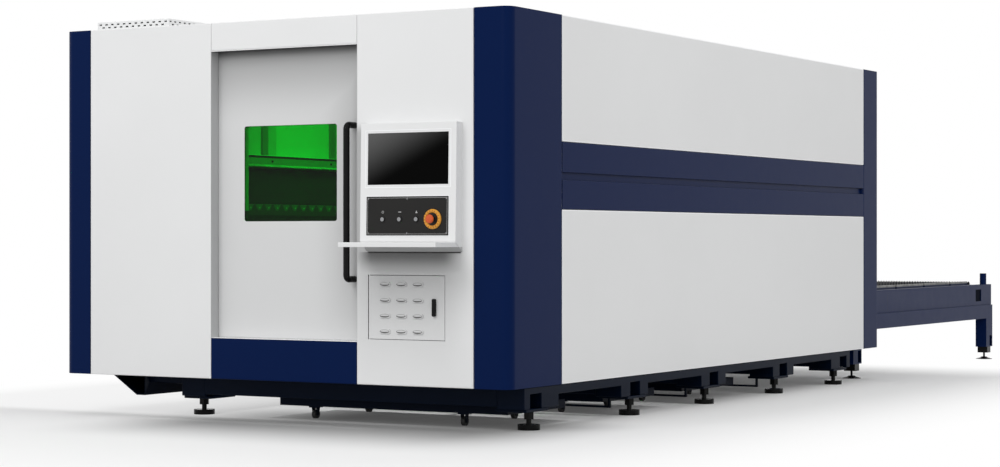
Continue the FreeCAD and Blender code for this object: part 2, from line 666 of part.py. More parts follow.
def cabinet_box():
    """The sheet box behind the cabinet door, open at the front, with the two hinge pins."""
    insets, heights = shrunk(CABINET_INSETS, -CABINET_GAP - 6), shrunk(CABINET_HEIGHTS, -CABINET_GAP - 6)
    depths = (PAN_DEPTH, CABINET_BOX_DEPTH)
    outer = block(insets, depths, heights)
    box = outer.cut(block(shrunk(insets, SHEET), (depths[0], depths[1] - SHEET), shrunk(heights, SHEET)))
    collar_outer = block(shrunk(CABINET_INSETS, -CABINET_GAP - SHEET), (SHEET, PAN_DEPTH),
                         shrunk(CABINET_HEIGHTS, -CABINET_GAP - SHEET))
    collar = collar_outer.cut(block(shrunk(CABINET_INSETS, -CABINET_GAP), (SHEET, PAN_DEPTH),
                                    shrunk(CABINET_HEIGHTS, -CABINET_GAP)))
    rim = block(insets, (PAN_DEPTH, PAN_DEPTH + SHEET), heights)
    rim = rim.cut(block(shrunk(CABINET_INSETS, -CABINET_GAP), (PAN_DEPTH, PAN_DEPTH + SHEET),
                        shrunk(CABINET_HEIGHTS, -CABINET_GAP)))
    box = box.fuse(collar).fuse(rim)
    hinge = CABINET_INSETS[1] - KNUCKLE_RADIUS
    low, high = CABINET_HEIGHTS
    for start, end in ((low - CABINET_GAP, low + 30), (high - 30, high + CABINET_GAP)):
        box = box.fuse(rod(HINGE_PIN_RADIUS, at(hinge, KNUCKLE_RADIUS, start),
                           at(hinge, KNUCKLE_RADIUS, end)))
    return box.removeSplitter()


# ---- machine bed ----
def bed_side():
    """The bed's right side, welded: sill with legs and fork pockets, wall, foot plates, guides, ledges."""
    start, end = BED_DEPTHS
    outline = []
    for (near, far), pocket in zip(LEG_DEPTHS, POCKET_DEPTHS):
        half = POCKET_SIZE[0] / 2
        outline += [(near, RAIL_BOTTOM), (near, LEG_BOTTOM), (pocket - half, LEG_BOTTOM),
                    (pocket - half, POCKET_SIZE[1]), (pocket + half, POCKET_SIZE[1]),
                    (pocket + half, LEG_BOTTOM), (far, LEG_BOTTOM), (far, RAIL_BOTTOM)]
    outline = outline[1:-1] + [(end, PANEL_BOTTOM), (start, PANEL_BOTTOM)]
    sill = along_x(outline, (BED_INSETS[0], BED_INSETS[0] + LEG_WIDTH))
    wall = tube_along_y(BED_WALL, BED_DEPTHS, (PANEL_BOTTOM, BED_WALL_TOP), BED_PLATE)
    plates = [foot_plate(depth) for depth in FOOT_DEPTHS]
    guides = [tray_guide(depth) for depth in FOOT_DEPTHS[1:4]]
    return Part.Compound([sill, wall] + plates + guides + pallet_ledges((1060, BED_DEPTHS[1])))


def foot_plate(depth):
    """The plate under a leg that takes the levelling screw."""
    insets = (BED_INSETS[0], BED_INSETS[0] + FOOT_PLATE[0])
    return block(insets, (depth - FOOT_PLATE[1] / 2, depth + FOOT_PLATE[1] / 2),
                 (LEG_BOTTOM - FOOT_PLATE[2], LEG_BOTTOM))


def tray_guide(depth):
    """A low bar that keeps the trays off a foot, hung from the foot plate."""
    near = depth - 75
    upright = block((150, 162), (near, near + 25), (40, LEG_BOTTOM - FOOT_PLATE[2]))
    return upright.fuse(block((150, 440), (near, near + 25), (40, 52)))


def cross_beams():
    """Tubes across the bed between its two sides, one at each pair of legs."""
    beams = []
    inner = BED_INSETS[0] + LEG_WIDTH
    insets = (inner, BED_INSETS[0] + BED_INSETS[1] - inner)
    upper = (BED_WALL[1], BED_INSETS[0] + BED_INSETS[1] - BED_WALL[1])
    for near, far in LEG_DEPTHS:
        depths = (near, near + CROSS_BEAM_DEPTH)
        beams.append(tube_along_x(insets, depths, (CROSS_BEAM_HEIGHTS[0], PANEL_BOTTOM), 6))
        beams.append(tube_along_x(upper, depths, (PANEL_BOTTOM, CROSS_BEAM_HEIGHTS[1]), 6))
    return Part.Compound(beams)


def outrigger():
    """The beam that carries the overhanging left side, with its floor and its brackets to the bed."""
    near, ridge, far = OUTRIGGER_INSETS
    low = OUTRIGGER_BOTTOM
    beam = along_y([(near, PANEL_BOTTOM), (near, low), (ridge, low), (far, PANEL_BOTTOM)], OUTRIGGER_DEPTHS)
    wall = 6
    hollow = along_y([(near + wall, PANEL_BOTTOM - wall), (near + wall, low + wall), (ridge - 2, low + wall),
                      (far - 22, PANEL_BOTTOM - wall)], OUTRIGGER_DEPTHS)
    beam = beam.cut(hollow)
    for foot_near, foot_far in LEG_DEPTHS:
        depths = (foot_near + 40, foot_near + 140)
        beam = beam.fuse(block((BED_INSETS[1], near), depths, (RAIL_BOTTOM, PANEL_BOTTOM)))
    floor_depths = (PAN_DEPTH + SEAM, ENCLOSURE_DEPTH - PAN_DEPTH - SEAM)
    floor = block((BED_INSETS[1] - 50, ENCLOSURE_WIDTH - PAN_DEPTH), floor_depths,
                  (PANEL_BOTTOM, PANEL_BOTTOM + SHEET))
    return beam.fuse(floor)


# ---- feet ----
def levelling_foot(depth, inset):
    """A levelling foot: nut, screw and flat pad."""
    centre = at(inset, depth, 0)
    up = FreeCAD.Vector(0, 0, 1)
    turns = [math.radians(60 * number) for number in range(6)]
    corners = [at(inset + NUT_RADIUS * math.cos(turn), depth + NUT_RADIUS * math.sin(turn), NUT_HEIGHTS[0])
               for turn in turns]
    nut = prism(corners, up * (NUT_HEIGHTS[1] - NUT_HEIGHTS[0]))
    stud = rod(STUD_RADIUS, centre + up * PAD_HEIGHT, centre + up * NUT_HEIGHTS[1])
    return rod(PAD_RADIUS, centre, centre + up * PAD_HEIGHT).fuse(stud).fuse(nut)


def table_foot(depth, inset):
    """A table foot: square nut block, thin screw and bell-shaped pad."""
    top = TABLE_LEG_BOTTOM
    nut = block((inset - 42, inset + 42), (depth - 42, depth + 42), (top - 50, top))
    profile = [(0, 0), (CONE_PAD_RADIUS, 0), (CONE_PAD_RADIUS, 3), (34, CONE_PAD_HEIGHT - 8),
               (20, CONE_PAD_HEIGHT), (8, CONE_PAD_HEIGHT), (8, top - 50), (0, top - 50)]
    pad = revolved(profile, inset, depth, 0, FreeCAD.Vector(0, 0, 1))
    return nut.fuse(pad)


def levelling_feet():
    """All the feet, each a piece of its own."""
    feet = [levelling_foot(depth, FOOT_INSET) for depth in FOOT_DEPTHS]
    feet += [table_foot(depth, table_leg_inset()) for depth in table_foot_depths()]
    return Part.Compound(feet + [across_bed(foot) for foot in feet])


def table_leg_inset():
    """The middle of a table leg, across the machine."""
    return (TABLE_OUTER + TABLE_LEG_INNER) / 2


def table_foot_depths():
    """Where the table's legs stand."""
    return (ENCLOSURE_DEPTH - 5.0, sum(TABLE_LEG_DEPTHS) / 2)


# ---- scrap trays ----
def caster_fork(inset, depth):
    """A caster's plate, its two cheeks and its axle."""
    plate = block((inset - 28, inset + 28), (depth - 28, depth + 28), (TRAY_HEIGHTS[0] - 8, TRAY_HEIGHTS[0]))
    half = CASTER_WIDTH / 2 + 1
    fork = plate
    for side in (-1, 1):
        inner, outer = sorted((inset + side * half, inset + side * (half + 4)))
        cheek = [(depth - 18, TRAY_HEIGHTS[0] - 8), (depth - 8, CASTER_RADIUS - 8),
                 (depth + 8, CASTER_RADIUS - 8), (depth + 18, TRAY_HEIGHTS[0] - 8)]
        fork = fork.fuse(along_x(cheek, (inner, outer)))
    axle = rod(CASTER_PIN, at(inset - half - 2, depth, CASTER_RADIUS),
               at(inset + half + 2, depth, CASTER_RADIUS))
    return fork.fuse(axle)


def scrap_trays():
    """Three shallow trays hooked in a row under the bed, on casters."""
    pieces = []
    for depths in TRAY_DEPTHS:
        tray = block(TRAY_INSETS, depths, TRAY_HEIGHTS)
        hollow = (TRAY_HEIGHTS[0] + SHEET, TRAY_HEIGHTS[1])
        pieces.append(tray.cut(block(shrunk(TRAY_INSETS, SHEET), shrunk(depths, SHEET), hollow)))
    middle = sum(TRAY_INSETS) / 2
    for ahead, behind in zip(TRAY_DEPTHS, TRAY_DEPTHS[1:]):
        pieces.append(block((middle - 20, middle + 20), (ahead[1], behind[0]), (82, 94)))
    for depth in CASTER_DEPTHS:
        pieces += [caster_fork(inset, depth) for inset in CASTER_INSETS]
    return Part.Compound(pieces)


def caster_wheels(depth):
    """The pair of caster wheels on one axle line."""
    wheels = []
    half = CASTER_WIDTH / 2
    for inset in CASTER_INSETS:
        wheel = rod(CASTER_RADIUS, at(inset - half, depth, CASTER_RADIUS),
                    at(inset + half, depth, CASTER_RADIUS))
        bore = rod(CASTER_PIN + RUNNING_GAP, at(inset - half - 1, depth, CASTER_RADIUS),
                   at(inset + half + 1, depth, CASTER_RADIUS))
        wheels.append(wheel.cut(bore))
    return Part.Compound(wheels)


# ---- motion system ----
def linear_guides():
    """The two guide rails on the bed's walls, each with its rack beside it."""
    width, height = GUIDE_SIZE
    depths = (BED_DEPTHS[0] + 20, BED_DEPTHS[1])
    top = BED_WALL_TOP + height
    half = width / 2
    left, right = GUIDE_INSET + half, GUIDE_INSET - half
    outline = [(right, BED_WALL_TOP), (left, BED_WALL_TOP), (left, top - 17), (left - 4, top - 11),
               (left, top - 5), (left, top), (right, top), (right, top - 5), (right + 4, top - 11),
               (right, top - 17)]
    rail = along_y(outline, depths)
    rack = block((GUIDE_INSET + 52, GUIDE_INSET + 76), depths, (BED_WALL_TOP, BED_WALL_TOP + 24))
    return Part.Compound([rail, rack, across_bed(rail), across_bed(rack)])


def gantry_foot():
    """An end carriage that straddles the guide rail."""
    half = GUIDE_SIZE[0] / 2 + 1
    top = BED_WALL_TOP + GUIDE_SIZE[1] + 1
    low, shoulder, high = BED_WALL_TOP + 6, top + 12, BEAM_HEIGHTS[0]
    offsets = [(-44, low), (-half, low), (-half, top), (half, top), (half, low), (44, low), (44, shoulder),
               (80, shoulder), (80, high), (-70, high), (-70, shoulder), (-44, shoulder)]
    outline = [(GUIDE_INSET + offset, height) for offset, height in offsets]
    foot = along_y(outline, GANTRY_DEPTHS)
    motor = block((GUIDE_INSET - 60, GUIDE_INSET + 30), (BEAM_DEPTHS[1] + 20, GANTRY_DEPTHS[1] - 10),
                  (BEAM_HEIGHTS[0], BEAM_HEIGHTS[0] + 190))
    return foot.fuse(motor)


def gantry_beam():
    """The cross beam with its end carriages, servo motors, cross rails and cable arm."""
    ends = (GUIDE_INSET - 70, 2 * TABLE_CENTRE - GUIDE_INSET + 70)
    low, high = BEAM_HEIGHTS
    near, far = BEAM_DEPTHS
    outline = [(near, low), (far, low), (far, high - 70), (far - 70, high), (near, high)]
    hollow = [(near + 10, low + 10), (far - 10, low + 10), (far - 10, high - 74), (far - 74, high - 10),
              (near + 10, high - 10)]
    beam = along_x(outline, ends).cut(along_x(hollow, shrunk(ends, 10)))
    foot = gantry_foot()
    beam = beam.fuse(foot).fuse(across_bed(foot))
    half = CROSS_RAIL / 2
    for height in CROSS_RAIL_HEIGHTS:
        rail = block(shrunk(ends, 60), (near - CROSS_RAIL, near), (height - half, height + half))
        beam = beam.fuse(rail)
    arm_start, arm_end = ends[1] - 60, CHAIN_INSETS[1] + 2
    arm_depths = (near + 40, far - 40)
    arm = block((arm_start, ends[1] + 20), arm_depths, (high - 10, high + 110))
    arm = arm.fuse(block((arm_start, arm_end), arm_depths, (high + 60, high + 110)))
    bracket = block((CHAIN_INSETS[0] - 2, arm_end), (far - 52, far - 40), (high + 60, CHAIN_TOP))
    return beam.fuse(arm).fuse(bracket).removeSplitter()


def cross_carriage():
    """The carriage on the cross beam: saddle plate, bearing blocks and the lift axis's housing."""
    near = BEAM_DEPTHS[0]
    insets = (TABLE_CENTRE - CARRIAGE_WIDTH / 2, TABLE_CENTRE + CARRIAGE_WIDTH / 2)
    plate = block(insets, (near - CROSS_RAIL - 18, near - CROSS_RAIL - 2),
                  (BEAM_HEIGHTS[0] + 4, BEAM_HEIGHTS[1] + 10))
    for height in CROSS_RAIL_HEIGHTS:
        for side in (-1, 1):
            edge = height + side * (CROSS_RAIL / 2 + 1)
            heights = tuple(sorted((edge, edge + side * 12)))
            plate = plate.fuse(block(insets, (near - CROSS_RAIL - 4, near - 6), heights))
    face = near - CROSS_RAIL - 18
    front = HEAD_DEPTH + HEAD_RADIUS + 14
    housing = block(shrunk(insets, 55), (front, face), (BEAM_HEIGHTS[0] - 20, BEAM_HEIGHTS[1] + 110))
    housing = round_edges(housing, FreeCAD.Vector(0, 0, 1), 12)
    motor = rod(32, at(TABLE_CENTRE, (front + face) / 2, BEAM_HEIGHTS[1] + 110),
                at(TABLE_CENTRE, (front + face) / 2, BEAM_HEIGHTS[1] + 200))
    return plate.fuse(housing).fuse(motor)


def cutting_head():
    """The cutting head: slide plate, collimator, focusing body and the nozzle's cone."""
    tip = NOZZLE_TIP
    profile = [(2, 0), (5, 0), (14, 16), (14, 34), (24, 50), (24, 90), (HEAD_RADIUS, 104),
               (HEAD_RADIUS, 260), (34, 272), (34, 400), (20, 412), (20, 470), (2, 470)]
    head = revolved(profile, TABLE_CENTRE, HEAD_DEPTH, tip, FreeCAD.Vector(0, 0, 1))
    plate = block((TABLE_CENTRE - 50, TABLE_CENTRE + 50), (HEAD_DEPTH + 26, HEAD_DEPTH + HEAD_RADIUS + 12),
                  (tip + 110, tip + 380))
    return head.fuse(plate)


def left_inner_wall():
    """The inner wall on the left with its ledge above and the cable chain's tray below."""
    depths = (COLUMN_SIDE / 2, ENCLOSURE_DEPTH - PAN_DEPTH - SEAM)
    low, high = LEDGE_HEIGHTS
    near = WALL_INSET - LEDGE_REACH
    wall, behind = WALL_INSET, WALL_INSET + 110
    base, top = PANEL_BOTTOM + SHEET, TRAY_TOP
    upper = [(wall, ROOF_HEIGHTS[0]), (wall, high), (near, high), (near, low), (near + SHEET, low),
             (near + SHEET, high - SHEET), (wall + SHEET, high - SHEET), (wall + SHEET, ROOF_HEIGHTS[0])]
    lower = [(near, base), (near, top), (behind, top), (behind, low + 30), (wall + SHEET, low + 60),
             (wall + SHEET, low + 64), (behind + SHEET, low + 32), (behind + SHEET, top - SHEET),
             (near + SHEET, top - SHEET), (near + SHEET, base)]
    return along_y(upper, depths).fuse(along_y(lower, depths))


def pleated_guard():
    """The black pleated guard behind the cable chain."""
    depths = (COLUMN_SIDE / 2 + 20, BEAM_DEPTHS[0] - 60)
    count = int((depths[1] - depths[0]) // (PLEAT_PITCH / 2))
    back = WALL_INSET + 110
    outline = [(back, depths[0] + count * PLEAT_PITCH / 2), (back, depths[0])]
    for number in range(count + 1):
        fold = back - 2 - PLEAT_DEPTH * (number % 2)
        outline.append((fold, depths[0] + number * PLEAT_PITCH / 2))
    return along_z(outline, (TRAY_TOP + LINK_HEIGHT + 4, LEDGE_HEIGHTS[0] - 6))


def drag_chain():
    """The cable chain: bevelled links lying on the tray, then the turn up to the gantry's arm."""
    start = COLUMN_SIDE / 2 + 30
    count = int((BEAM_DEPTHS[1] + 60 - start) // LINK_PITCH)
    low, high = TRAY_TOP, TRAY_TOP + LINK_HEIGHT
    outline = [(start, low)]
    for number in range(count):
        first = start + number * LINK_PITCH
        outline += [(first, high - 36), (first + 22, high), (first + LINK_PITCH - 22, high)]
    end = start + count * LINK_PITCH
    outline += [(end, high - 36), (end, low)]
    middle = (TRAY_TOP + CHAIN_TOP) / 2
    radius = (CHAIN_TOP - TRAY_TOP) / 2
    near, far = at(CHAIN_INSETS[0], end, middle), at(CHAIN_INSETS[1], end, middle)
    turn = rod(radius, near, far).cut(rod(radius - LINK_HEIGHT, near, far))
    turn = turn.cut(block(CHAIN_INSETS, (end - radius, end), (TRAY_TOP, CHAIN_TOP)))
    last = block(CHAIN_INSETS, (BEAM_DEPTHS[1] - 39, end), (CHAIN_TOP - LINK_HEIGHT, CHAIN_TOP))
    return along_x(outline, CHAIN_INSETS).fuse(turn).fuse(last)


def laser_source():
    """The laser source's cabinet in the left-hand bay: a folded case with a plinth and a door."""
    insets, depths = (2440.0, 2880.0), (3100.0, 3900.0)
    base = PANEL_BOTTOM + SHEET
    case = block(insets, depths, (base + 60, base + 760))
    case = round_edges(case, FreeCAD.Vector(0, 0, 1), 10)
    plinth = block(shrunk(insets, 30), shrunk(depths, 30), (base, base + 60))
    door = block((insets[0] + 20, insets[1] - 20), (depths[0] - 4, depths[0]), (base + 80, base + 740))
    return case.fuse(plinth).fuse(door)


# ---- exchange table ----
def table_side():
    """The pieces of one table side: two beams, two legs, the end post and the pallets' ledges."""
    upper = tube_along_y((UPPER_BEAM_INSET, BEAM_INNER), (TABLE_START, TABLE_END), UPPER_BEAM_HEIGHTS, 6)
    lower = tube_along_y((TABLE_OUTER, BEAM_INNER), (TABLE_START, TABLE_LEG_DEPTHS[1]),
                         LOWER_BEAM_HEIGHTS, 6)
    window = block((UPPER_BEAM_INSET - 1, UPPER_BEAM_INSET + 7), (8024, 8168), (488, 586))
    pieces = [upper.cut(window), lower]
    half = (TABLE_LEG_DEPTHS[1] - TABLE_LEG_DEPTHS[0]) / 2
    for depth in table_foot_depths():
        depths = (depth - half, depth + half)
        heights = (TABLE_LEG_BOTTOM, LOWER_BEAM_HEIGHTS[0])
        insets = (TABLE_OUTER, TABLE_LEG_INNER)
        leg = block(insets, depths, heights)
        leg = leg.cut(block(shrunk(insets, 8), shrunk(depths, 8), shrunk(heights, 8)))
        hole = block((TABLE_OUTER - 1, TABLE_OUTER + 9), (depth + 6, depth + half - 12), (112, 198))
        pieces.append(leg.cut(hole))
    foot = at(TABLE_OUTER + 42, 8300, UPPER_BEAM_HEIGHTS[1])
    pieces.append(rod(27, foot, foot + FreeCAD.Vector(0, 0, 92)))
    return pieces + pallet_ledges((TABLE_START, TABLE_END - 90))


def exchange_table():
    """The exchange table's frame: its two sides and the tubes between them, under the lower pallet."""
    side = table_side()
    pieces = side + [across_bed(piece) for piece in side]
    between_ledges = (RAIL_LIP[0], 2 * TABLE_CENTRE - RAIL_LIP[0])
    heights = (LOWER_BEAM_HEIGHTS[0], PALLET_FRAME_HEIGHTS[0] - PALLET_DROP - 4)
    for depth in table_foot_depths():
        pieces.append(tube_along_x(between_ledges, (depth - 50, depth + 50), heights, 5))
    between = (BEAM_INNER, 2 * TABLE_CENTRE - BEAM_INNER)
    pieces.append(tube_along_x(between, (TABLE_END - 56, TABLE_END - 6), (470, 550), 5))
    return Part.Compound(pieces)


def pallet_ledges(depths):
    """The ledges that the wheels of the two pallets run on, one above the other."""
    ledges = []
    for drop in (0, PALLET_DROP):
        top = PALLET_FRAME_HEIGHTS[0] + WHEEL_LIFT - WHEEL_RADIUS - drop
        under = top - RAIL_LIP[1]
        outline = [(BEAM_INNER, under - 12), (BEAM_INNER, top), (RAIL_LIP[0], top), (RAIL_LIP[0], under),
                   (BEAM_INNER + 8, under), (BEAM_INNER + 8, under - 12)]
        ledges.append(along_y(outline, depths))
    return ledges


def pallet_frame(drop, travel):
    """The pieces of a pallet's welded frame: tubes, wheels and the side bars that hold the slats."""
    low, high = PALLET_FRAME_HEIGHTS[0] - drop, PALLET_FRAME_HEIGHTS[1] - drop
    depths = (PALLET_DEPTHS[0] - travel, PALLET_DEPTHS[1] - travel)
    start, end = PALLET_INSETS
    sides = [block((start, start + PALLET_TUBE), depths, (low, high))]
    for near, far in zip((0.0, *COMB_JOINTS), (*COMB_JOINTS, COMB_END)):
        span = (depths[0] + near + 15, depths[0] + far - 15)
        sides.append(block((start, start + 24), span, (high, high + COMB_HEIGHT)))
    height = PALLET_FRAME_HEIGHTS[0] + WHEEL_LIFT - drop
    for number in range(PALLET_WHEELS):
        depth = depths[0] + 200 + number * (depths[1] - depths[0] - 400) / (PALLET_WHEELS - 1)
        wheel = rod(WHEEL_RADIUS - 0.4, at(RAIL_LIP[0] - 22, depth, height),
                    at(RAIL_LIP[0] - 2, depth, height))
        axle = rod(9, at(RAIL_LIP[0] - 4, depth, height), at(start, depth, height))
        sides.append(wheel.fuse(axle))
    middle = (start + end) / 2
    across = [block((middle - 25, middle + 25), shrunk(depths, PALLET_TUBE), (low, high))]
    for near in (depths[0], depths[1] - PALLET_TUBE):
        across.append(block(shrunk(PALLET_INSETS, PALLET_TUBE), (near, near + PALLET_TUBE), (low, high)))
    return across + sides + [across_bed(piece) for piece in sides]


def slats(drop, travel):
    """The pallet's upright slats, each a strip with pointed teeth along its top."""
    base = PALLET_FRAME_HEIGHTS[1] - drop
    top = SLAT_TOP - drop
    insets = shrunk(PALLET_INSETS, 27)
    pitch = (insets[1] - insets[0]) / SLAT_TEETH
    outline = [(insets[0], base)]
    for number in range(SLAT_TEETH):
        start = insets[0] + number * pitch
        outline += [(start, top - SLAT_TOOTH), (start + pitch / 2, top)]
    outline += [(insets[1], top - SLAT_TOOTH), (insets[1], base)]
    start = PALLET_DEPTHS[0] - travel + 30
    count = int((PALLET_DEPTHS[1] - PALLET_DEPTHS[0] - 60) // SLAT_PITCH) + 1
    strips = []
    for number in range(count):
        depth = start + number * SLAT_PITCH
        strips.append(along_y(outline, (depth, depth + SLAT_THICKNESS)))
    return strips


def exchange_drive():
    """The gear motor that moves the pallets, on the outside of the table's left upper beam."""
    outer = 2 * TABLE_CENTRE - UPPER_BEAM_INSET
    depth, height = 7960, 540
    gearbox = block((outer, outer + 85), (depth - 55, depth + 55), (height - 55, height + 55))
    gearbox = round_edges(gearbox, FreeCAD.Vector(1, 0, 0), 14)
    motor = rod(45, at(outer + 46, depth + 55, height), at(outer + 46, depth + 260, height))
    return gearbox.fuse(motor)


# ---- all sub-parts ----
def build():
    """Every sub-part under its own name."""
    parts = {}
    whole_height = (PANEL_BOTTOM, ENCLOSURE_TOP)
    parts["front_right_column"] = column(RIGHT_COLUMN_FRONT, COLUMN_SIDE, COLUMN_RADIUS, whole_height)
    left_column = column(LEFT_COLUMN_FRONT, COLUMN_SIDE, COLUMN_RADIUS, whole_height)
    parts["front_left_column"] = mirrored(left_column)
    parts["rear_right_post"] = rear_post()
    parts["rear_left_post"] = mirrored(rear_post())
    left_insets = (DOORWAY_INSETS[1], ENCLOSURE_WIDTH - LEFT_COLUMN_FRONT - SEAM)
    parts["front_left_panel"] = front_pan(left_insets, whole_height)
    parts["front_right_panel"] = front_right_panel()
    parts["door_header"] = front_pan(shrunk(DOORWAY_INSETS, SEAM / 2), (HEADER_BOTTOM, ENCLOSURE_TOP))
    parts["kick_panel"] = kick_panel()
    depths = side_depths()
    parts["right_upper_panel"] = side_pan(depths, (BAND_HEIGHTS[1], ENCLOSURE_TOP))
    parts["right_lower_panel"] = side_pan(depths, (PANEL_BOTTOM, BAND_HEIGHTS[0]))
    parts["right_band"] = side_band()
    for name in ("upper_panel", "lower_panel", "band"):
        parts["left_" + name] = mirrored(parts["right_" + name])
    parts["rear_panel"] = rear_panel()
    parts["roof_panels"] = roof_panels()
    parts["roof_vent"] = roof_vent()
    parts["door_panel"] = door_panel()
    parts["window_seal"] = window_seal()
    parts["window_glass"] = window_glass()
    parts["door_handle"] = door_handle()
    parts["door_hangers"] = door_hangers()
    parts["door_tracks"] = door_tracks()
    parts["console_housing"] = console_housing()
    parts["console_screen"] = console_screen()
    parts["control_plate"] = control_plate()
    for number, inset in enumerate(BUTTON_INSETS, 1):
        parts["push_button_" + str(number)] = push_button(inset)
    parts["estop_ring"] = estop_ring()
    parts["estop_button"] = estop_button()
    parts["keyboard_shelf"] = keyboard_shelf()
    parts["cabinet_door"] = cabinet_door()
    parts["cabinet_latch"] = cabinet_latch()
    parts["cabinet_box"] = cabinet_box()
    parts["bed_right_side"] = bed_side()
    parts["bed_left_side"] = across_bed(bed_side())
    parts["bed_cross_beams"] = cross_beams()
    parts["left_outrigger"] = outrigger()
    parts["levelling_feet"] = levelling_feet()
    parts["scrap_trays"] = scrap_trays()
    for number, depth in enumerate(CASTER_DEPTHS, 1):
        parts["caster_wheels_" + str(number)] = caster_wheels(depth)
    parts["linear_guides"] = linear_guides()
    parts["gantry_beam"] = gantry_beam()
    parts["cross_carriage"] = cross_carriage()
    parts["cutting_head"] = cutting_head()
    parts["left_inner_wall"] = left_inner_wall()
    parts["pleated_guard"] = pleated_guard()
    parts["drag_chain"] = drag_chain()
    parts["laser_source"] = laser_source()
    parts["exchange_table"] = exchange_table()
    parts["upper_pallet_frame"] = Part.Compound(pallet_frame(0, 0))
    parts["upper_pallet_slats"] = Part.Compound(slats(0, 0))
    lower_pallet = pallet_frame(PALLET_DROP, PALLET_TRAVEL) + slats(PALLET_DROP, PALLET_TRAVEL)
    parts["lower_pallet"] = Part.Compound(lower_pallet)
    parts["exchange_drive"] = exchange_drive()
    return parts


os.makedirs("parts", exist_ok=True)
for part_name, part_shape in build().items():
    save(part_name, part_shape)
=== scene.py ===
import json
import math

import bmesh
import bpy
import numpy as np
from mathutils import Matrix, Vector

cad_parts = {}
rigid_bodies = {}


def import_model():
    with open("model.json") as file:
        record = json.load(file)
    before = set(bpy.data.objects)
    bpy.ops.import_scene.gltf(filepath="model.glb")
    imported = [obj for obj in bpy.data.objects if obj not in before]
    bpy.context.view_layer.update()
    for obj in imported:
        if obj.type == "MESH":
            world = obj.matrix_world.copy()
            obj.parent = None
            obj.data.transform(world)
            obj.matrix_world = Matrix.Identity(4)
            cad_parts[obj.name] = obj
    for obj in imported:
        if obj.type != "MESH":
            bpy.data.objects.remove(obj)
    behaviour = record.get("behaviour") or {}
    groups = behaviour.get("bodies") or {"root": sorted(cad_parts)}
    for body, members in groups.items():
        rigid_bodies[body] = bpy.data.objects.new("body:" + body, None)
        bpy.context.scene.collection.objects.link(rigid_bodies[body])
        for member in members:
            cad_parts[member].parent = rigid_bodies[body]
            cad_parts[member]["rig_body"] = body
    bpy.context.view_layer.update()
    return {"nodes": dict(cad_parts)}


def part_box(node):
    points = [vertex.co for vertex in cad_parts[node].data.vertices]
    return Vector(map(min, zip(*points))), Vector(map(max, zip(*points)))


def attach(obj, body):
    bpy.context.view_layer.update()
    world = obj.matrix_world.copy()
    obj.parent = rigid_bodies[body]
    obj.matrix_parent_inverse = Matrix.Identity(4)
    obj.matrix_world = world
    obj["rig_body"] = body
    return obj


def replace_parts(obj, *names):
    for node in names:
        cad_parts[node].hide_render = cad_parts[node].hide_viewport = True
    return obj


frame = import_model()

# An enclosed fiber laser cutting machine with a pallet exchange table, in metres.
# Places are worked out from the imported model: an inset from the right-hand side, a depth behind the
# front panels and a height above the floor.

RIGHT_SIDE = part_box("right_upper_panel")[1].x
FRONT_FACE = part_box("front_right_panel")[0].y
RNG = np.random.default_rng(7)

# Parts of the machine that more than one function places or paints.
DOOR_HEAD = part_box("door_header")[0].z
FIRST_RIB, RIB_PITCH = FRONT_FACE + 1.028, 0.722
CHAIN_START, CHAIN_PITCH, CHAIN_HEIGHT = 0.3115, 0.0920, 0.0650
# The console's leaning front: its foot (y, height), its angle, and its frames as (insets, heights), the
# frames in millimetres.
CONSOLE_FOOT, CONSOLE_LEAN = (FRONT_FACE - 0.069, 0.990), math.atan2(0.012, 0.625)
SCREEN_FRAME, PLATE_FRAME = ((319, 843), (1277.3, 1574.8)), ((327, 835), (1023, 1228))
# Heights, as (start, end) of a soft border, where the paint changes on the pallet and on the inner wall.
BARS_FOOT, CHAIN_TOP = (0.6378, 0.6384), (1.150, 1.152)
LEDGE_FOOT, LEDGE_HEAD = (1.4515, 1.453), (1.4915, 1.4925)
FOLD_HEAD, LINE_HEAD = (1.5055, 1.5065), (1.510, 1.511)
# Scales of the noises in the finishes, the orange peel's relief in metres, the part of the cloud noise
# that is spread over the whole tint, and the strength of a fine bump.
CLOUD_SCALE, MOTTLE_SCALE, PEEL_SCALE, GRAIN_SCALE, PEEL_RELIEF = 0.9, 14, 420, 380, 0.00012
CLOUD_BAND, FINE_BUMP = (0.3, 0.7), 0.5


# ---- small mesh tools ----
def at(inset, depth, height):
    """The point at these distances in millimetres from the right side, the front panels and the floor."""
    return np.array([RIGHT_SIDE - inset / 1000, FRONT_FACE + depth / 1000, height / 1000])


def add_piece(name, points, faces, material, body, smooth=False):
    """A new piece from points and faces in the machine's own frame, riding on a body.
    A smooth piece keeps the edges sharper than 40 degrees."""
    mesh = bpy.data.meshes.new(name)
    mesh.from_pydata(np.asarray(points, float).reshape(-1, 3).tolist(), [], [list(f) for f in faces])
    mesh.polygons.foreach_set("use_smooth", np.full(len(mesh.polygons), smooth))
    mesh.update()
    piece = bpy.data.objects.new(name, mesh)
    bpy.context.scene.collection.objects.link(piece)
    piece.data.materials.append(material.material)
    if smooth:
        mesh.set_sharp_from_angle(angle=math.radians(40))
    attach(piece, body)
    return piece


def grid_faces(rows, columns, close_rows=False, close_columns=False):
    """Quads of a grid of points numbered row by row, joined to its start along a closed direction."""
    row = np.arange(rows if close_rows else rows - 1)[:, None]
    column = np.arange(columns if close_columns else columns - 1)[None, :]
    next_row, next_column = (row + 1) % rows, (column + 1) % columns
    corners = [row * columns + column, row * columns + next_column,
               next_row * columns + next_column, next_row * columns + column]
    return np.stack([np.broadcast_to(c, (row.size, column.size)) for c in corners], -1).reshape(-1, 4)


def joined(parts):
    """Points and faces of several meshes as one."""
    points, faces, start = [], [], 0
    for part_points, part_faces in parts:
        part_points = np.asarray(part_points, float).reshape(-1, 3)
        points.append(part_points)
        faces += [[int(i) + start for i in face] for face in part_faces]
        start += len(part_points)
    return np.concatenate(points), faces


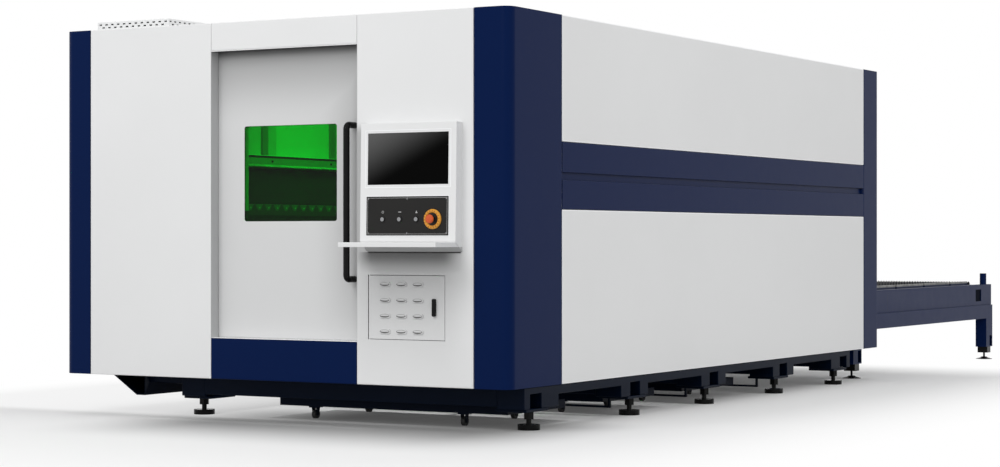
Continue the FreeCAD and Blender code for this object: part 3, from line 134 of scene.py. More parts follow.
def turned(profile, origin, axis, side, count):
    """A turned form from a profile of (radius, height) pairs:
    point(turn, s) = origin + axis * height(s) + radius(s) * (side * cos(turn) + other * sin(turn))."""
    profile = np.asarray(profile, float)
    axis, side = np.asarray(axis, float), np.asarray(side, float)
    other = np.cross(axis, side)
    turn = np.linspace(0, 2 * math.pi, count, endpoint=False)[:, None, None]
    ring = side * np.cos(turn) + other * np.sin(turn)
    points = np.asarray(origin, float) + axis * profile[None, :, 1:2] + ring * profile[None, :, 0:1]
    faces = grid_faces(count, len(profile), close_rows=True)
    return points.reshape(-1, 3), faces[:, ::-1]


def softened(node, material, width=0.004, segments=3):
    """Stand-in for a CAD node: its mesh joined up, with its sharp outer edges rounded where both faces
    are broad. A face's breadth is 4 * area / perimeter, which is a square's side."""
    merge_within, flat_within, sharp, widths = 2e-5, math.radians(0.4), math.radians(35), 3.5
    work = bmesh.new()
    work.from_mesh(frame["nodes"][node].data)
    bmesh.ops.remove_doubles(work, verts=work.verts, dist=merge_within)
    bmesh.ops.dissolve_limit(work, angle_limit=flat_within, verts=work.verts, edges=work.edges)
    weight = work.edges.layers.float.new("bevel_weight_edge")
    breadth = {face: 4 * face.calc_area() / face.calc_perimeter() for face in work.faces}
    for edge in work.edges:
        if len(edge.link_faces) == 2 and edge.calc_face_angle_signed(0) > sharp:
            if min(breadth[face] for face in edge.link_faces) > widths * width:
                edge[weight] = 1.0
    mesh = bpy.data.meshes.new(node + "_finished")
    work.to_mesh(mesh)
    work.free()
    mesh.polygons.foreach_set("use_smooth", np.full(len(mesh.polygons), True))
    mesh.set_sharp_from_angle(angle=sharp)
    piece = bpy.data.objects.new(node + "_finished", mesh)
    bpy.context.scene.collection.objects.link(piece)
    bevel = piece.modifiers.new("rounded edges", "BEVEL")
    bevel.width, bevel.segments, bevel.limit_method = width, segments, "WEIGHT"
    normals = piece.modifiers.new("flat faces", "WEIGHTED_NORMAL")
    normals.keep_sharp = True
    mesh.materials.clear()
    mesh.materials.append(material.material)
    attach(piece, frame["nodes"][node]["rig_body"])
    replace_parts(piece, node)


# ---- shader maths ----
class Value:
    """A shader socket that takes Python's arithmetic and adds a Math node for each operation."""

    def __init__(self, paint, socket):
        self.paint, self.socket = paint, socket

    def maths(self, operation, *others, first=None):
        inputs = [self if first is None else first, *others]
        return self.paint.add("ShaderNodeMath", {"operation": operation}, dict(enumerate(inputs)))

    def __add__(self, other):
        return self.maths("ADD", other)

    def __mul__(self, other):
        return self.maths("MULTIPLY", other)

    def __sub__(self, other):
        return self.maths("SUBTRACT", other)

    def __rsub__(self, other):
        return self.maths("SUBTRACT", self, first=other)

    def __truediv__(self, other):
        return self.maths("DIVIDE", other)

    __radd__, __rmul__ = __add__, __mul__

    def absolute(self):
        return self.maths("ABSOLUTE")

    def larger(self, other):
        return self.maths("MAXIMUM", other)

    def power(self, other):
        return self.maths("POWER", other)

    def wave(self, period):
        """From -1 to 1 and back over one period."""
        return (self * (2 * math.pi / period)).maths("SINE")

    def ramp(self, low, high):
        """0 below low and 1 above high, with a smooth step between."""
        return self.paint.add("ShaderNodeMapRange", {"interpolation_type": "SMOOTHSTEP"},
                              {"Value": self, "From Min": low, "From Max": high})

    def band(self, foot, head):
        """1 between two soft borders, each a (start, end) pair, and 0 outside them."""
        return self.ramp(*foot) * (1 - self.ramp(*head))


class Paint:
    """A material under construction: constants go on its shader, and the rest is added as nodes."""

    def __init__(self, name, slot=None, **constants):
        self.slot = slot
        self.material = bpy.data.materials.new(name)
        self.material.use_nodes = True
        self.tree = self.material.node_tree
        self.shader = self.tree.nodes["Principled BSDF"]
        self.set(**constants)

    @classmethod
    def of_world(cls, world):
        """The same tools for a world's background instead of a material."""
        paint = cls.__new__(cls)
        world.use_nodes = True
        paint.tree = world.node_tree
        paint.shader = paint.tree.nodes["Background"]
        return paint

    def set(self, **sockets):
        for name, value in sockets.items():
            self.connect(self.shader.inputs[name.replace("_", " ")], value)

    def connect(self, target, value):
        if isinstance(value, Value):
            self.tree.links.new(value.socket, target)
        elif target.type == "RGBA" and len(value) == 3:
            target.default_value = (*value, 1.0)
        else:
            target.default_value = value

    def add(self, kind, settings=None, values=None, output=0):
        node = self.tree.nodes.new(kind)
        for name, value in (settings or {}).items():
            setattr(node, name, value)
        for name, value in (values or {}).items():
            self.connect(node.inputs[name], value)
        return Value(self, node.outputs[output])

    def place(self):
        """The point's own place on the machine, in metres."""
        return self.add("ShaderNodeTexCoord", output="Object")

    def axis(self, name, vector=None):
        return self.add("ShaderNodeSeparateXYZ", None, {0: vector or self.place()}, name)

    def stretched(self, x, y, z):
        return self.add("ShaderNodeVectorMath", {"operation": "MULTIPLY"}, {0: self.place(), 1: (x, y, z)})

    def noise(self, scale, detail, vector=None):
        return self.add("ShaderNodeTexNoise", None,
                        {"Vector": vector or self.place(), "Scale": scale, "Detail": detail})

    def mix(self, factor, low, high):
        """A colour between two others."""
        return self.add("ShaderNodeMix", {"data_type": "RGBA"}, {0: factor, 6: low, 7: high}, 2)

    def bump(self, height, distance, strength):
        return self.add("ShaderNodeBump", None,
                        {"Height": height, "Distance": distance, "Strength": strength})

    def plainly_seen(self):
        """1 where the camera sees the point, itself, in gloss or through glass, and 0 for bounced light."""
        rays = [self.add("ShaderNodeLightPath", output=f"Is {kind} Ray")
                for kind in ("Camera", "Glossy", "Transmission")]
        return rays[0].larger(rays[1]).larger(rays[2])


def shade(colour, factor):
    """A colour made lighter or darker."""
    return tuple(min(1.0, channel * factor) for channel in colour)


# ---- finishes ----
def powder_coat(name, slot, colour, roughness=0.42, gloss=0.5, highlight_edges_of=None, shade_on=None):
    """Satin powder coat: a fine orange peel and faint clouds. On a side panel its folded edges can get a
    painted highlight, and a function of the paint can give painted shade, from 0 to 1, that darkens it."""
    paint = Paint(name, slot, Specular_IOR_Level=gloss)
    clouds = paint.noise(CLOUD_SCALE, 4)
    base = paint.mix(clouds.ramp(*CLOUD_BAND), shade(colour, 0.985), shade(colour, 1.015))
    # Painted highlight: a side panel's folded edges are painted paler, as if they caught the light.
    if highlight_edges_of:
        low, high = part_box(highlight_edges_of)
        highlight_width, edge_highlight_colour = 0.007, (0.97, 0.98, 0.99)
        across = (paint.axis("Y") - (low.y + high.y) / 2).absolute() - ((high.y - low.y) / 2 - highlight_width)
        up = (paint.axis("Z") - (low.z + high.z) / 2).absolute() - ((high.z - low.z) / 2 - highlight_width)
        base = paint.mix(across.larger(up).ramp(-0.001, 0.002), base, edge_highlight_colour)
    # Painted shade: the shade function darkens the base colour towards black.
    if shade_on:
        base = paint.mix(shade_on(paint), base, (0.0, 0.0, 0.0))
    peel = paint.noise(PEEL_SCALE, 2)
    paint.set(Base_Color=base, Roughness=roughness + paint.noise(MOTTLE_SCALE, 2) * 0.06 - 0.03,
              Normal=paint.bump(peel, PEEL_RELIEF, FINE_BUMP))
    return paint


def fading(distance, *steps):
    """Shade that fades with the distance from an edge, from steps of (reach, strength):
    the sum over the steps of strength * (1 - smooth step from 0 to reach)."""
    total = 0
    for reach, strength in steps:
        total = (1 - distance.ramp(0.0, reach)) * strength + total
    return total


def shade_under_header(paint):
    """Painted shade on the door: under the header, beside the right-hand jamb and on the foot of the window's
    return, which lies behind the door's face."""
    low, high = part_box("door_panel")
    height = paint.axis("Z")
    hidden, window_foot, foot_shade = 0.022, (1.161, 1.163), 0.94
    # Painted shade under the header and beside the jamb, fading away from them.
    jamb = fading(high.x - hidden - paint.axis("X"), (0.10, 0.18), (0.36, 0.24)) * height.ramp(0.25, 0.80)
    # Painted shade on the foot of the window's return, behind the door's face.
    behind = (paint.axis("Y") - low.y).ramp(0.003, 0.004)
    inside = behind * (1 - height.ramp(*window_foot)) * foot_shade
    return fading(DOOR_HEAD - height, (0.055, 0.38), (0.43, 0.43)).larger(jamb).larger(inside)


def shade_under_console(paint):
    """Painted shade on the front: below the console, less beside its edges, and on the strip left of it."""
    low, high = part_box("console_housing")
    height = paint.axis("Z")
    below, from_left, to_right = low.z - height, paint.axis("X") - low.x, high.x - paint.axis("X")
    # Painted shade below the console, near and wide, and on the strip left of it.
    near = fading(below, (0.11, 0.54)) * to_right.ramp(0.0, 0.12) * from_left.ramp(-0.13, 0.03)
    wide = fading(below, (0.80, 0.34)) * to_right.ramp(-0.10, 0.16) * from_left.ramp(-0.24, 0.02)
    strip_shade, strip_foot, strip_head = 0.44, (low.z - 0.10, low.z), (high.z - 0.05, high.z + 0.02)
    strip = height.band(strip_foot, strip_head) * (1 - from_left.ramp(-0.005, 0.005)) * strip_shade
    return (near * below.ramp(-0.001, 0.0) + wide * below.ramp(-0.12, 0.06)).larger(strip)


def shade_under_shelf(paint):
    """Painted shade, even, on the console's housing, below the keyboard shelf's underside only."""
    shelf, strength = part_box("keyboard_shelf")[0].z, 0.42
    return strength - paint.axis("Z").ramp(shelf - 0.001, shelf + 0.001) * strength


def machined_steel(name, slot, colour, roughness=0.3, along=(4, 400, 400)):
    """Ground steel: fine lines along the direction of least scale, which also break up the gloss, and faint
    stains."""
    paint = Paint(name, slot, Metallic=1.0)
    lines = paint.noise(1.0, 3, paint.stretched(*along))
    stains = paint.noise(9, 4)
    paint.set(Base_Color=paint.mix(stains.ramp(0.35, 0.7), colour, shade(colour, 0.85)),
              Roughness=lines * 0.2 + roughness - 0.1, Normal=paint.bump(lines, 0.0001, 0.4))
    return paint


def scaled_steel(name, slot):
    """Slat steel: black mill scale with heat-blued patches and slag beads near the tips."""
    paint = Paint(name, slot, Metallic=0.6)
    patches = paint.noise(26, 5)
    slag = paint.noise(260, 3)
    dark, blued = (0.012, 0.012, 0.014), (0.045, 0.043, 0.05)
    paint.set(Base_Color=paint.mix(patches.ramp(0.4, 0.68), dark, blued),
              Roughness=0.45 + patches * 0.3, Normal=paint.bump(slag * 0.5 + patches, 0.0012, 0.5))
    return paint


def plastic(name, slot, colour, roughness):
    """Moulded plastic with a fine grain."""
    paint = Paint(name, slot)
    texture = paint.noise(GRAIN_SCALE, 2)
    paint.set(Base_Color=paint.mix(paint.noise(30, 3), shade(colour, 0.94), shade(colour, 1.06)),
              Roughness=roughness + texture * 0.1 - 0.05, Normal=paint.bump(texture, 0.0001, FINE_BUMP))
    return paint


def green_glass():
    """The laser-safe pane: clear green, with faint polishing haze and a weak mirror gloss."""
    paint = Paint("laser_safe_glass", "window_green", Transmission_Weight=1.0, IOR=1.20)
    haze = paint.noise(3, 3)
    paint.set(Base_Color=paint.mix(haze, (0.001, 0.50, 0.014), (0.0012, 0.53, 0.017)),
              Roughness=haze * 0.01)
    return paint


def beam_paint():
    """The exchange table's navy paint, with the joint line of the plate on its upper beam."""
    paint = Paint("table_coat", "frame_paint", Specular_IOR_Level=0.072)
    joint, beam_foot, beam_head = at(0, 5960, 0)[1], (0.463, 0.465), (0.59, 0.592)
    line = 1 - (paint.axis("Y") - joint).absolute().ramp(0.0015, 0.003)
    line = line * paint.axis("Z").band(beam_foot, beam_head)
    clouds = paint.noise(CLOUD_SCALE, 4)
    base = paint.mix(clouds.ramp(*CLOUD_BAND), shade(NAVY, 0.98), shade(NAVY, 1.04))
    paint.set(Base_Color=paint.mix(line, base, shade(NAVY, 0.3)),
              Roughness=0.36 + paint.noise(MOTTLE_SCALE, 2) * 0.08,
              Normal=paint.bump(paint.noise(PEEL_SCALE, 2) - line * 3, PEEL_RELIEF, FINE_BUMP))
    return paint


def pallet_paint():
    """The pallet's frame: navy tubes below, and bare steel bars with scale and scratches above them."""
    paint = Paint("pallet_coat", "frame_paint", Specular_IOR_Level=0.2)
    bare = paint.axis("Z").ramp(*BARS_FOOT)
    scale = paint.noise(30, 5)
    scratches = paint.noise(1.0, 3, paint.stretched(300, 6, 300))
    steel = paint.mix(scale.ramp(0.35, 0.7), (0.30, 0.30, 0.29), (0.14, 0.14, 0.14))
    paint.set(Base_Color=paint.mix(bare, shade(NAVY, 0.8), steel), Metallic=bare * 0.35,
              Roughness=0.4 + scratches * 0.15, Normal=paint.bump(scale + scratches * 0.4, 0.0003, 0.4))
    return paint


def inner_wall_paint():
    """The inner wall: pale, with a painted shadow in a stripe beside each rib, darker before the first rib, a
    ledge in painted shade with a painted shadow in its fold and a painted highlight line over it, and black
    below the chain."""
    paint = Paint("inner_coat", "inner_sheet", Specular_IOR_Level=0.3)
    height = paint.axis("Z")
    pale, shaded, dark = (0.74, 0.76, 0.75), (0.30, 0.31, 0.31), (0.012, 0.012, 0.012)
    clouds = paint.noise(2.0, 4)
    base = paint.mix(clouds.ramp(*CLOUD_BAND), shade(pale, 0.96), pale)
    along, stripe_middle, stripe_border = paint.axis("Y") - FIRST_RIB, 0.080, (0.044, 0.046)
    # Painted shadow: a darker stripe beside each rib.
    beside = ((along / RIB_PITCH).maths("FRACT") * RIB_PITCH - stripe_middle).absolute()
    base = paint.mix(1 - beside.ramp(*stripe_border), base, shade(pale, 0.72))
    base = paint.mix(1 - along.ramp(-0.038, -0.034), base, shade(pale, 0.77))
    # Painted shade on the ledge, a painted shadow in its fold and a painted highlight line above.
    base = paint.mix(height.band(LEDGE_FOOT, LEDGE_HEAD), base, shaded)
    base = paint.mix(height.band(LEDGE_HEAD, FOLD_HEAD), base, dark)
    base = paint.mix(height.band(FOLD_HEAD, LINE_HEAD), base, (0.97, 0.98, 0.98))
    base = paint.mix(height.ramp(*CHAIN_TOP), dark, base)
    paint.set(Base_Color=base, Roughness=0.5 + clouds * 0.1,
              Normal=paint.bump(paint.noise(PEEL_SCALE, 2), PEEL_RELIEF, FINE_BUMP))
    return paint


def guard_ring():
    """The emergency stop's yellow ring, with a circle of small darker dashes: dark where
    sin(count * turn) is high and the distance from the middle is close to the circle's radius."""
    paint = Paint("ring_yellow", "ring_yellow")
    count, radius = 18, 0.044
    low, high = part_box("estop_ring")
    across = paint.axis("X") - (low.x + high.x) / 2
    up = paint.axis("Z") - (low.z + high.z) / 2
    turn = paint.add("ShaderNodeMath", {"operation": "ARCTAN2"}, {0: up, 1: across})
    reach = (across * across + up * up).power(0.5)
    dashes = (turn * count).maths("SINE").ramp(0.1, 0.5)
    dashes = dashes * (1 - (reach - radius).absolute().ramp(0.0025, 0.004))
    grain = paint.noise(GRAIN_SCALE, 2)
    paint.set(Base_Color=paint.mix(dashes, (0.74, 0.33, 0.03), (0.40, 0.13, 0.01)),
              Roughness=0.38 + grain * 0.08, Normal=paint.bump(grain - dashes * 0.5, 0.0002, FINE_BUMP))
    return paint


def screen_glass():
    """The switched-off monitor: black glass with a painted reflection, a soft grey sheen fading from its
    upper left corner.
    """
    paint = Paint("screen_glass", "screen_glass", Specular_IOR_Level=0.03)
    low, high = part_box("console_screen")
    across = (paint.axis("X") - low.x) / (high.x - low.x)
    down = (high.z - paint.axis("Z")) / (high.z - low.z)
    # Painted reflection: a grey sheen on the glass, strongest at its upper left corner.
    painted_sheen = 1 - (across * 0.75 + down * 0.85).ramp(0.0, 0.95)
    black, grey = (0.0008, 0.0008, 0.0008), (0.11, 0.11, 0.11)
    paint.set(Base_Color=paint.mix(painted_sheen, black, grey), Roughness=0.12 + paint.noise(60, 4) * 0.05)
    return paint


def pleated_cloth():
    """The guard's coated black cloth, woven finely."""
    paint, thread = Paint("guard_cloth", "guard_cloth"), 0.0016
    weave = paint.axis("Y").wave(thread) * paint.axis("Z").wave(thread)
    paint.set(Base_Color=paint.mix(paint.noise(5, 3), (0.018, 0.020, 0.020), (0.027, 0.029, 0.029)),
              Roughness=0.6 + weave * 0.05, Normal=paint.bump(weave, 0.0002, 0.4))
    return paint


WHITE, NAVY = (0.80, 0.805, 0.808), (0.0008, 0.0095, 0.057)
white = powder_coat("white_coat", "white_sheet", WHITE)
navy = powder_coat("navy_coat", "navy_sheet", NAVY, 0.36, 0.052)
frame_coat = powder_coat("frame_coat", "frame_paint", (0.0010, 0.0045, 0.0145), 0.42, 0.055)
# The door's coat is greyer than the other white sheets: partly its own paint and partly painted shade of its
# recess.
door_coat = powder_coat("door_coat", "white_sheet", shade(WHITE, 0.84), shade_on=shade_under_header)
# Painted shade under the console, on the front panel and on the cabinet door.
front_coat = powder_coat("front_coat", "white_sheet", WHITE, shade_on=shade_under_console)
housing_coat = powder_coat("housing_coat", "white_sheet", WHITE, shade_on=shade_under_shelf)
# Painted shade: the shelf is a little darker than the white, so its lit top is no brighter than the front.
shelf_coat = powder_coat("shelf_coat", "white_sheet", shade(WHITE, 0.97))
# Painted shade for the doorway, a grey jamb and a dark header underside, and a painted highlight on the sill.
jamb_shade_grey = powder_coat("jamb_shade_grey", "white_sheet", (0.49, 0.495, 0.50))
soffit_shade_grey = powder_coat("soffit_shade_grey", "white_sheet", (0.035, 0.035, 0.037))
sill_highlight_white = powder_coat("sill_highlight_white", "white_sheet", (0.97, 0.975, 0.98))
table_coat = beam_paint()
pallet_coat = pallet_paint()
inner_coat = inner_wall_paint()
black_coat = powder_coat("black_coat", "black_paint", (0.0035, 0.0035, 0.0038), 0.16, 0.12)
charcoal = powder_coat("charcoal_coat", "plate_charcoal", (0.021, 0.0205, 0.020), 0.45, 0.1)
gantry_coat = powder_coat("gantry_coat", "gantry_paint", (0.55, 0.57, 0.58), 0.45)
ground_steel = machined_steel("ground_steel", "machined_steel", (0.55, 0.56, 0.58))
zinc = machined_steel("zinc_plate", "galvanised", (0.50, 0.52, 0.55), 0.4, (40, 40, 40))
slat_steel = scaled_steel("mill_scale", "slat_steel")
chrome = machined_steel("button_chrome", "button_metal", (0.30, 0.305, 0.315), 0.22, (300, 300, 300))
ring_yellow = guard_ring()
button_red = plastic("button_red", "button_red", (0.60, 0.085, 0.014), 0.35)
chain_black = plastic("chain_black", "chain_plastic", (0.036, 0.038, 0.038), 0.5)
seal_black = plastic("seal_rubber", "seal_rubber", (0.012, 0.012, 0.012), 0.7)
tyre_black = plastic("caster_tyre", "caster_tyre", (0.014, 0.014, 0.015), 0.6)
mark_ink = plastic("mark_ink", "button_metal", (0.45, 0.45, 0.45), 0.5)
recess_black = plastic("recess_black", "black_paint", (0.010, 0.008, 0.007), 0.6)
# Painted shade on the louvres: grey brows in each crease and dark lips for the shadow under each hood.
brow_shade_grey = plastic("brow_shade_grey", "white_sheet", (0.30, 0.30, 0.30), 0.5)
lip_shadow_grey = plastic("lip_shadow_grey", "white_sheet", (0.085, 0.085, 0.085), 0.5)
plate_grey = plastic("plate_grey", "chain_plastic", (0.13, 0.13, 0.13), 0.5)
pin_grey = plastic("pin_grey", "chain_plastic", (0.55, 0.55, 0.55), 0.4)
# Painted shadow: a dark plate where the inside of each beam's window is in shade.
slot_shadow_dark = powder_coat("slot_shadow_dark", "frame_paint", (0.0006, 0.0025, 0.008), 0.6, 0.01)
rib_grey = plastic("rib_grey", "inner_sheet", (0.22, 0.23, 0.23), 0.5)
frame_white = powder_coat("frame_white", "white_sheet", (0.95, 0.96, 0.97))
bezel_steel = machined_steel("bezel_steel", "button_metal", (0.16, 0.16, 0.165), 0.3, (300, 300, 300))


# ---- the CAD nodes, finished ----
def dress_node(node, paint):
    """Give a CAD node that keeps its own mesh its finish."""
    target = frame["nodes"][node]
    target.data.materials.clear()
    target.data.materials.append(paint.material)


def dress_sheets():
    """The folded sheets: rounded folds, with a painted highlight along the folded edges of the side panels.
    """
    for side in ("right", "left"):
        for level in ("upper", "lower"):
            node = f"{side}_{level}_panel"
            softened(node, powder_coat(node + "_coat", "white_sheet", WHITE, highlight_edges_of=node))
        softened(side + "_band", navy)
        softened(f"front_{side}_column", navy)
        softened(f"rear_{side}_post", navy)
    softened("front_left_panel", white)
    softened("front_right_panel", front_coat)
    softened("keyboard_shelf", shelf_coat)
    softened("console_housing", housing_coat)
    softened("door_header", white)
    softened("rear_panel", white)
    softened("door_panel", door_coat)
    softened("roof_vent", white, 0.003)
    softened("kick_panel", navy)
    softened("roof_panels", white, 0.005)
    softened("control_plate", charcoal, 0.0008, 2)


def dress_rest():
    """The nodes whose own mesh shows."""
    finishes = {front_coat: ("cabinet_door",), frame_coat: ("scrap_trays",),
                green_glass(): ("window_glass",), seal_black: ("window_seal",),
                black_coat: ("door_handle", "cabinet_latch", "levelling_feet"),
                zinc: ("door_hangers", "door_tracks", "cabinet_box"), screen_glass(): ("console_screen",),
                chrome: ("push_button_1", "push_button_2", "push_button_3"), ring_yellow: ("estop_ring",),
                button_red: ("estop_button",), ground_steel: ("linear_guides", "cutting_head"),
                slat_steel: ("lower_pallet",), chain_black: ("drag_chain",),
                pleated_cloth(): ("pleated_guard",), inner_coat: ("left_inner_wall", "laser_source"),
                tyre_black: tuple(f"caster_wheels_{number}" for number in range(1, 7))}
    for paint, nodes in finishes.items():
        for node in nodes:
            dress_node(node, paint)


def dress_frames():
    """The welded frames and machine parts, with rounded corners."""
    for node in ("bed_left_side", "bed_right_side", "bed_cross_beams", "left_outrigger"):
        softened(node, frame_coat, 0.004, 2)
    softened("exchange_table", table_coat, 0.004, 2)
    softened("exchange_drive", table_coat, 0.004, 2)
    softened("upper_pallet_frame", pallet_coat, 0.003, 2)
    for node in ("gantry_beam", "cross_carriage"):
        softened(node, gantry_coat, 0.004, 2)


dress_sheets()
dress_rest()
dress_frames()


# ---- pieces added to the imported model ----
def extruded(outline, sweep):
    """A flat outline carried along a straight line: point = outline point, and again plus the sweep."""
    outline = np.asarray(outline, float)
    count = len(outline)
    points = np.concatenate([outline, outline + np.asarray(sweep, float)])
    ring = np.arange(count)
    after = (ring + 1) % count
    sides = np.stack([ring, after, after + count, ring + count], -1)
    return points, [*sides.tolist(), ring[::-1].tolist(), (ring + count).tolist()]


def add_closed(name, parts, material, body, smooth=False):
    """One new piece from several closed meshes, with its faces turned outwards."""
    points, faces = joined(parts)
    piece = add_piece(name, points, faces, material, body, smooth)
    work = bmesh.new()
    work.from_mesh(piece.data)
    bmesh.ops.recalc_face_normals(work, faces=work.faces)
    work.to_mesh(piece.data)
    work.free()
    return piece


def build_slats():
    """The pallet's slats, with upper edges that zigzag between tooth tips and roots:
    x(step) = low + width * step / (2 * teeth), z(step) = high - tooth * (1 at even steps, 0 at odd ones),
    each slat moved a little along and down at random."""
    low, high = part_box("upper_pallet_slats")
    teeth, tooth, count, thickness = 73, 0.0125, 52, 0.004
    uneven, share = 0.0015, (0.5, 0, 0.4)
    steps = np.arange(2 * teeth + 1)
    across = low.x + (high.x - low.x) * steps / (2 * teeth)
    tops = high.z - tooth * (steps % 2 == 0)
    outline = np.stack([across, np.zeros(len(steps)), tops], -1)
    outline = np.concatenate([[[high.x, 0, low.z], [low.x, 0, low.z]], outline])
    pitch = (high.y - low.y - thickness) / (count - 1)
    parts = []
    for number in range(count):
        shift = RNG.uniform(-uneven, uneven, 3) * share
        shift[2] = min(shift[2], 0)
        shaped = outline + shift * (np.arange(len(outline)) > 1)[:, None]
        shaped[:, 0] = np.clip(shaped[:, 0], low.x, high.x)
        parts.append(extruded(shaped + (0, low.y + number * pitch, 0), (0, thickness, 0)))
    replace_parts(add_closed("pallet_slats", parts, slat_steel, "upper_pallet"), "upper_pallet_slats")


def lean(mesh):
    """A mesh drawn on an upright console front, as (x, outwards, height), laid on the leaning one:
    y = foot - out * cos(angle) + up * sin(angle), z = foot + up * cos(angle) + out * sin(angle)."""
    points, faces = np.asarray(mesh[0], float).reshape(-1, 3), mesh[1]
    foot_y, foot_z = CONSOLE_FOOT
    out, up = points[:, 1], points[:, 2] - foot_z
    laid = np.stack([points[:, 0],
                     foot_y - out * math.cos(CONSOLE_LEAN) + up * math.sin(CONSOLE_LEAN),
                     foot_z + up * math.cos(CONSOLE_LEAN) + out * math.sin(CONSOLE_LEAN)], -1)
    return laid, faces


def flat_mark(outline, thickness=0.0005, start=0.003):
    """A thin mark on the console's front, from its outline of (inset, height) pairs in millimetres.
    It starts this many metres out from the front; by default just on the control plate."""
    outline = np.asarray(outline, float)
    base = [RIGHT_SIDE - outline[:, 0] / 1000, np.full(len(outline), start), outline[:, 1] / 1000]
    return lean(extruded(np.stack(base, -1), (0, thickness, 0)))


def rectangle(x0, x1, z0, z1):
    """The four corners of a rectangle, in order round it."""
    return [(x0, z0), (x1, z0), (x1, z1), (x0, z1)]


def build_plate_marks():
    """A border line, a mark over each button (ring, bar, triangle) and six screws on the control plate."""
    (right, left), (low, high) = PLATE_FRAME
    margin, width, mark_height, sides = 7, 1.6, 1146, 24
    left, right, low, high = left - margin, right + margin, low + margin, high - margin
    bars = (left, right, low, low + width), (left, right, high - width, high)
    bars += (left, left - width, low, high), (right + width, right, low, high)
    parts = [flat_mark(rectangle(*bar), 0.0003) for bar in bars]
    turn = np.linspace(0, 2 * math.pi, sides, endpoint=False)
    circle = np.stack([np.cos(turn), np.sin(turn)], -1)
    ring_outer, ring_inner = circle * 7, circle * 5
    for number in range(sides):
        after = (number + 1) % sides
        corners = [ring_outer[number], ring_outer[after], ring_inner[after], ring_inner[number]]
        parts.append(flat_mark(np.array(corners) + (731, mark_height)))
    parts.append(flat_mark(np.array(rectangle(-9, 9, -2, 2)) + (626, mark_height)))
    parts.append(flat_mark(np.array([(-7, -6), (7, -6), (0, 7)]) + (522, mark_height)))
    add_closed("plate_marks", parts, mark_ink, "machine")
    profile = [(0, 0.0027), (0.0036, 0.0027), (0.0036, 0.0036), (0.0026, 0.0046), (0.0008, 0.0049),
               (0, 0.0049)]
    places = [(RIGHT_SIDE - inset / 1000, 0, height / 1000) for inset in (822, 581, 340)
              for height in (1036, 1215)]
    screws = [lean(turned(profile, place, (0, 1, 0), (1, 0, 0), 16)) for place in places]
    add_closed("plate_screws", screws, chrome, "machine", True)


def build_button_bezels():
    """A turned metal ring round each push button, low and bevelled."""
    profile = [(0.0113, 0.0027), (0.0150, 0.0027), (0.0150, 0.0040), (0.0138, 0.0062), (0.0118, 0.0066),
               (0.0113, 0.0058), (0.0113, 0.0027)]
    rings = []
    for number in (1, 2, 3):
        low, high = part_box(f"push_button_{number}")
        middle = ((low.x + high.x) / 2, 0, (low.z + high.z) / 2)
        rings.append(lean(turned(profile, middle, (0, 1, 0), (1, 0, 0), 32)))
    add_closed("button_bezels", rings, bezel_steel, "machine", True)


def build_louvre_shading():
    """Crescents of painted shade on each louvre, grey brows in the crease above and dark lips for the shadow
    below, between an outer and an inner half ellipse:
    point(turn) = centre + (along * cos(turn), -proud, up * sin(turn)), in millimetres."""
    centres = [at(inset, 0, height) for inset in (762, 659, 556) for height in (765, 681, 598, 515)]
    outer, back, face, count = (29.5, 9.4), 5.3, 6.0, 20
    turn = np.linspace(0, math.pi, count)
    caps = [[0, count, 2 * count, 3 * count], [4 * count - 1, 3 * count - 1, 2 * count - 1, count - 1]]
    for name, paint, way, inner in (("louvre_brow_shade", brow_shade_grey, 1, (27.0, 7.2)),
                                    ("louvre_lip_shadow", lip_shadow_grey, -1, (26.0, 2.6))):
        shells = [np.stack([along * np.cos(turn), np.full(count, -proud), way * up * np.sin(turn)], -1)
                  for (along, up), proud in ((outer, back), (outer, face), (inner, face), (inner, back))]
        section = np.stack(shells) / 1000
        faces = grid_faces(4, count, close_rows=True).tolist() + caps
        add_closed(name, [(section + centre, faces) for centre in centres], paint, "cabinet_door")


def build_doorway():
    """Flat linings of the doorway: painted shade, dark under the header and grey up both jambs, and a riser
    with a painted highlight strip on the sill."""
    thin, lip_drop, riser_rise, sill_rise = 0.001, 0.0045, 0.0038, 0.0055
    left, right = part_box("front_left_panel")[1].x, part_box("front_right_panel")[0].x
    foot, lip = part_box("kick_panel")[1].z, DOOR_HEAD - lip_drop
    front, back = FRONT_FACE + thin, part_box("door_panel")[0].y - 0.004
    across = (left + thin, right - thin)
    linings = (("header_lip", white, [(*across, lip, DOOR_HEAD)]),
               ("doorway_soffit_shade", soffit_shade_grey, [(*across, lip - thin, lip)]),
               ("doorway_jamb_shade", jamb_shade_grey, [(left, left + thin, foot, DOOR_HEAD),
                                               (right - thin, right, foot, DOOR_HEAD)]),
               ("doorway_riser", navy, [(*across, foot, foot + riser_rise)]),
               ("doorway_sill_highlight", sill_highlight_white, [(*across, foot + riser_rise, foot + sill_rise)]))
    for name, paint, strips in linings:
        parts = [extruded([(x, front, z) for x, z in rectangle(*strip)], (0, back - front, 0))
                 for strip in strips]
        add_closed(name, parts, paint, "machine")


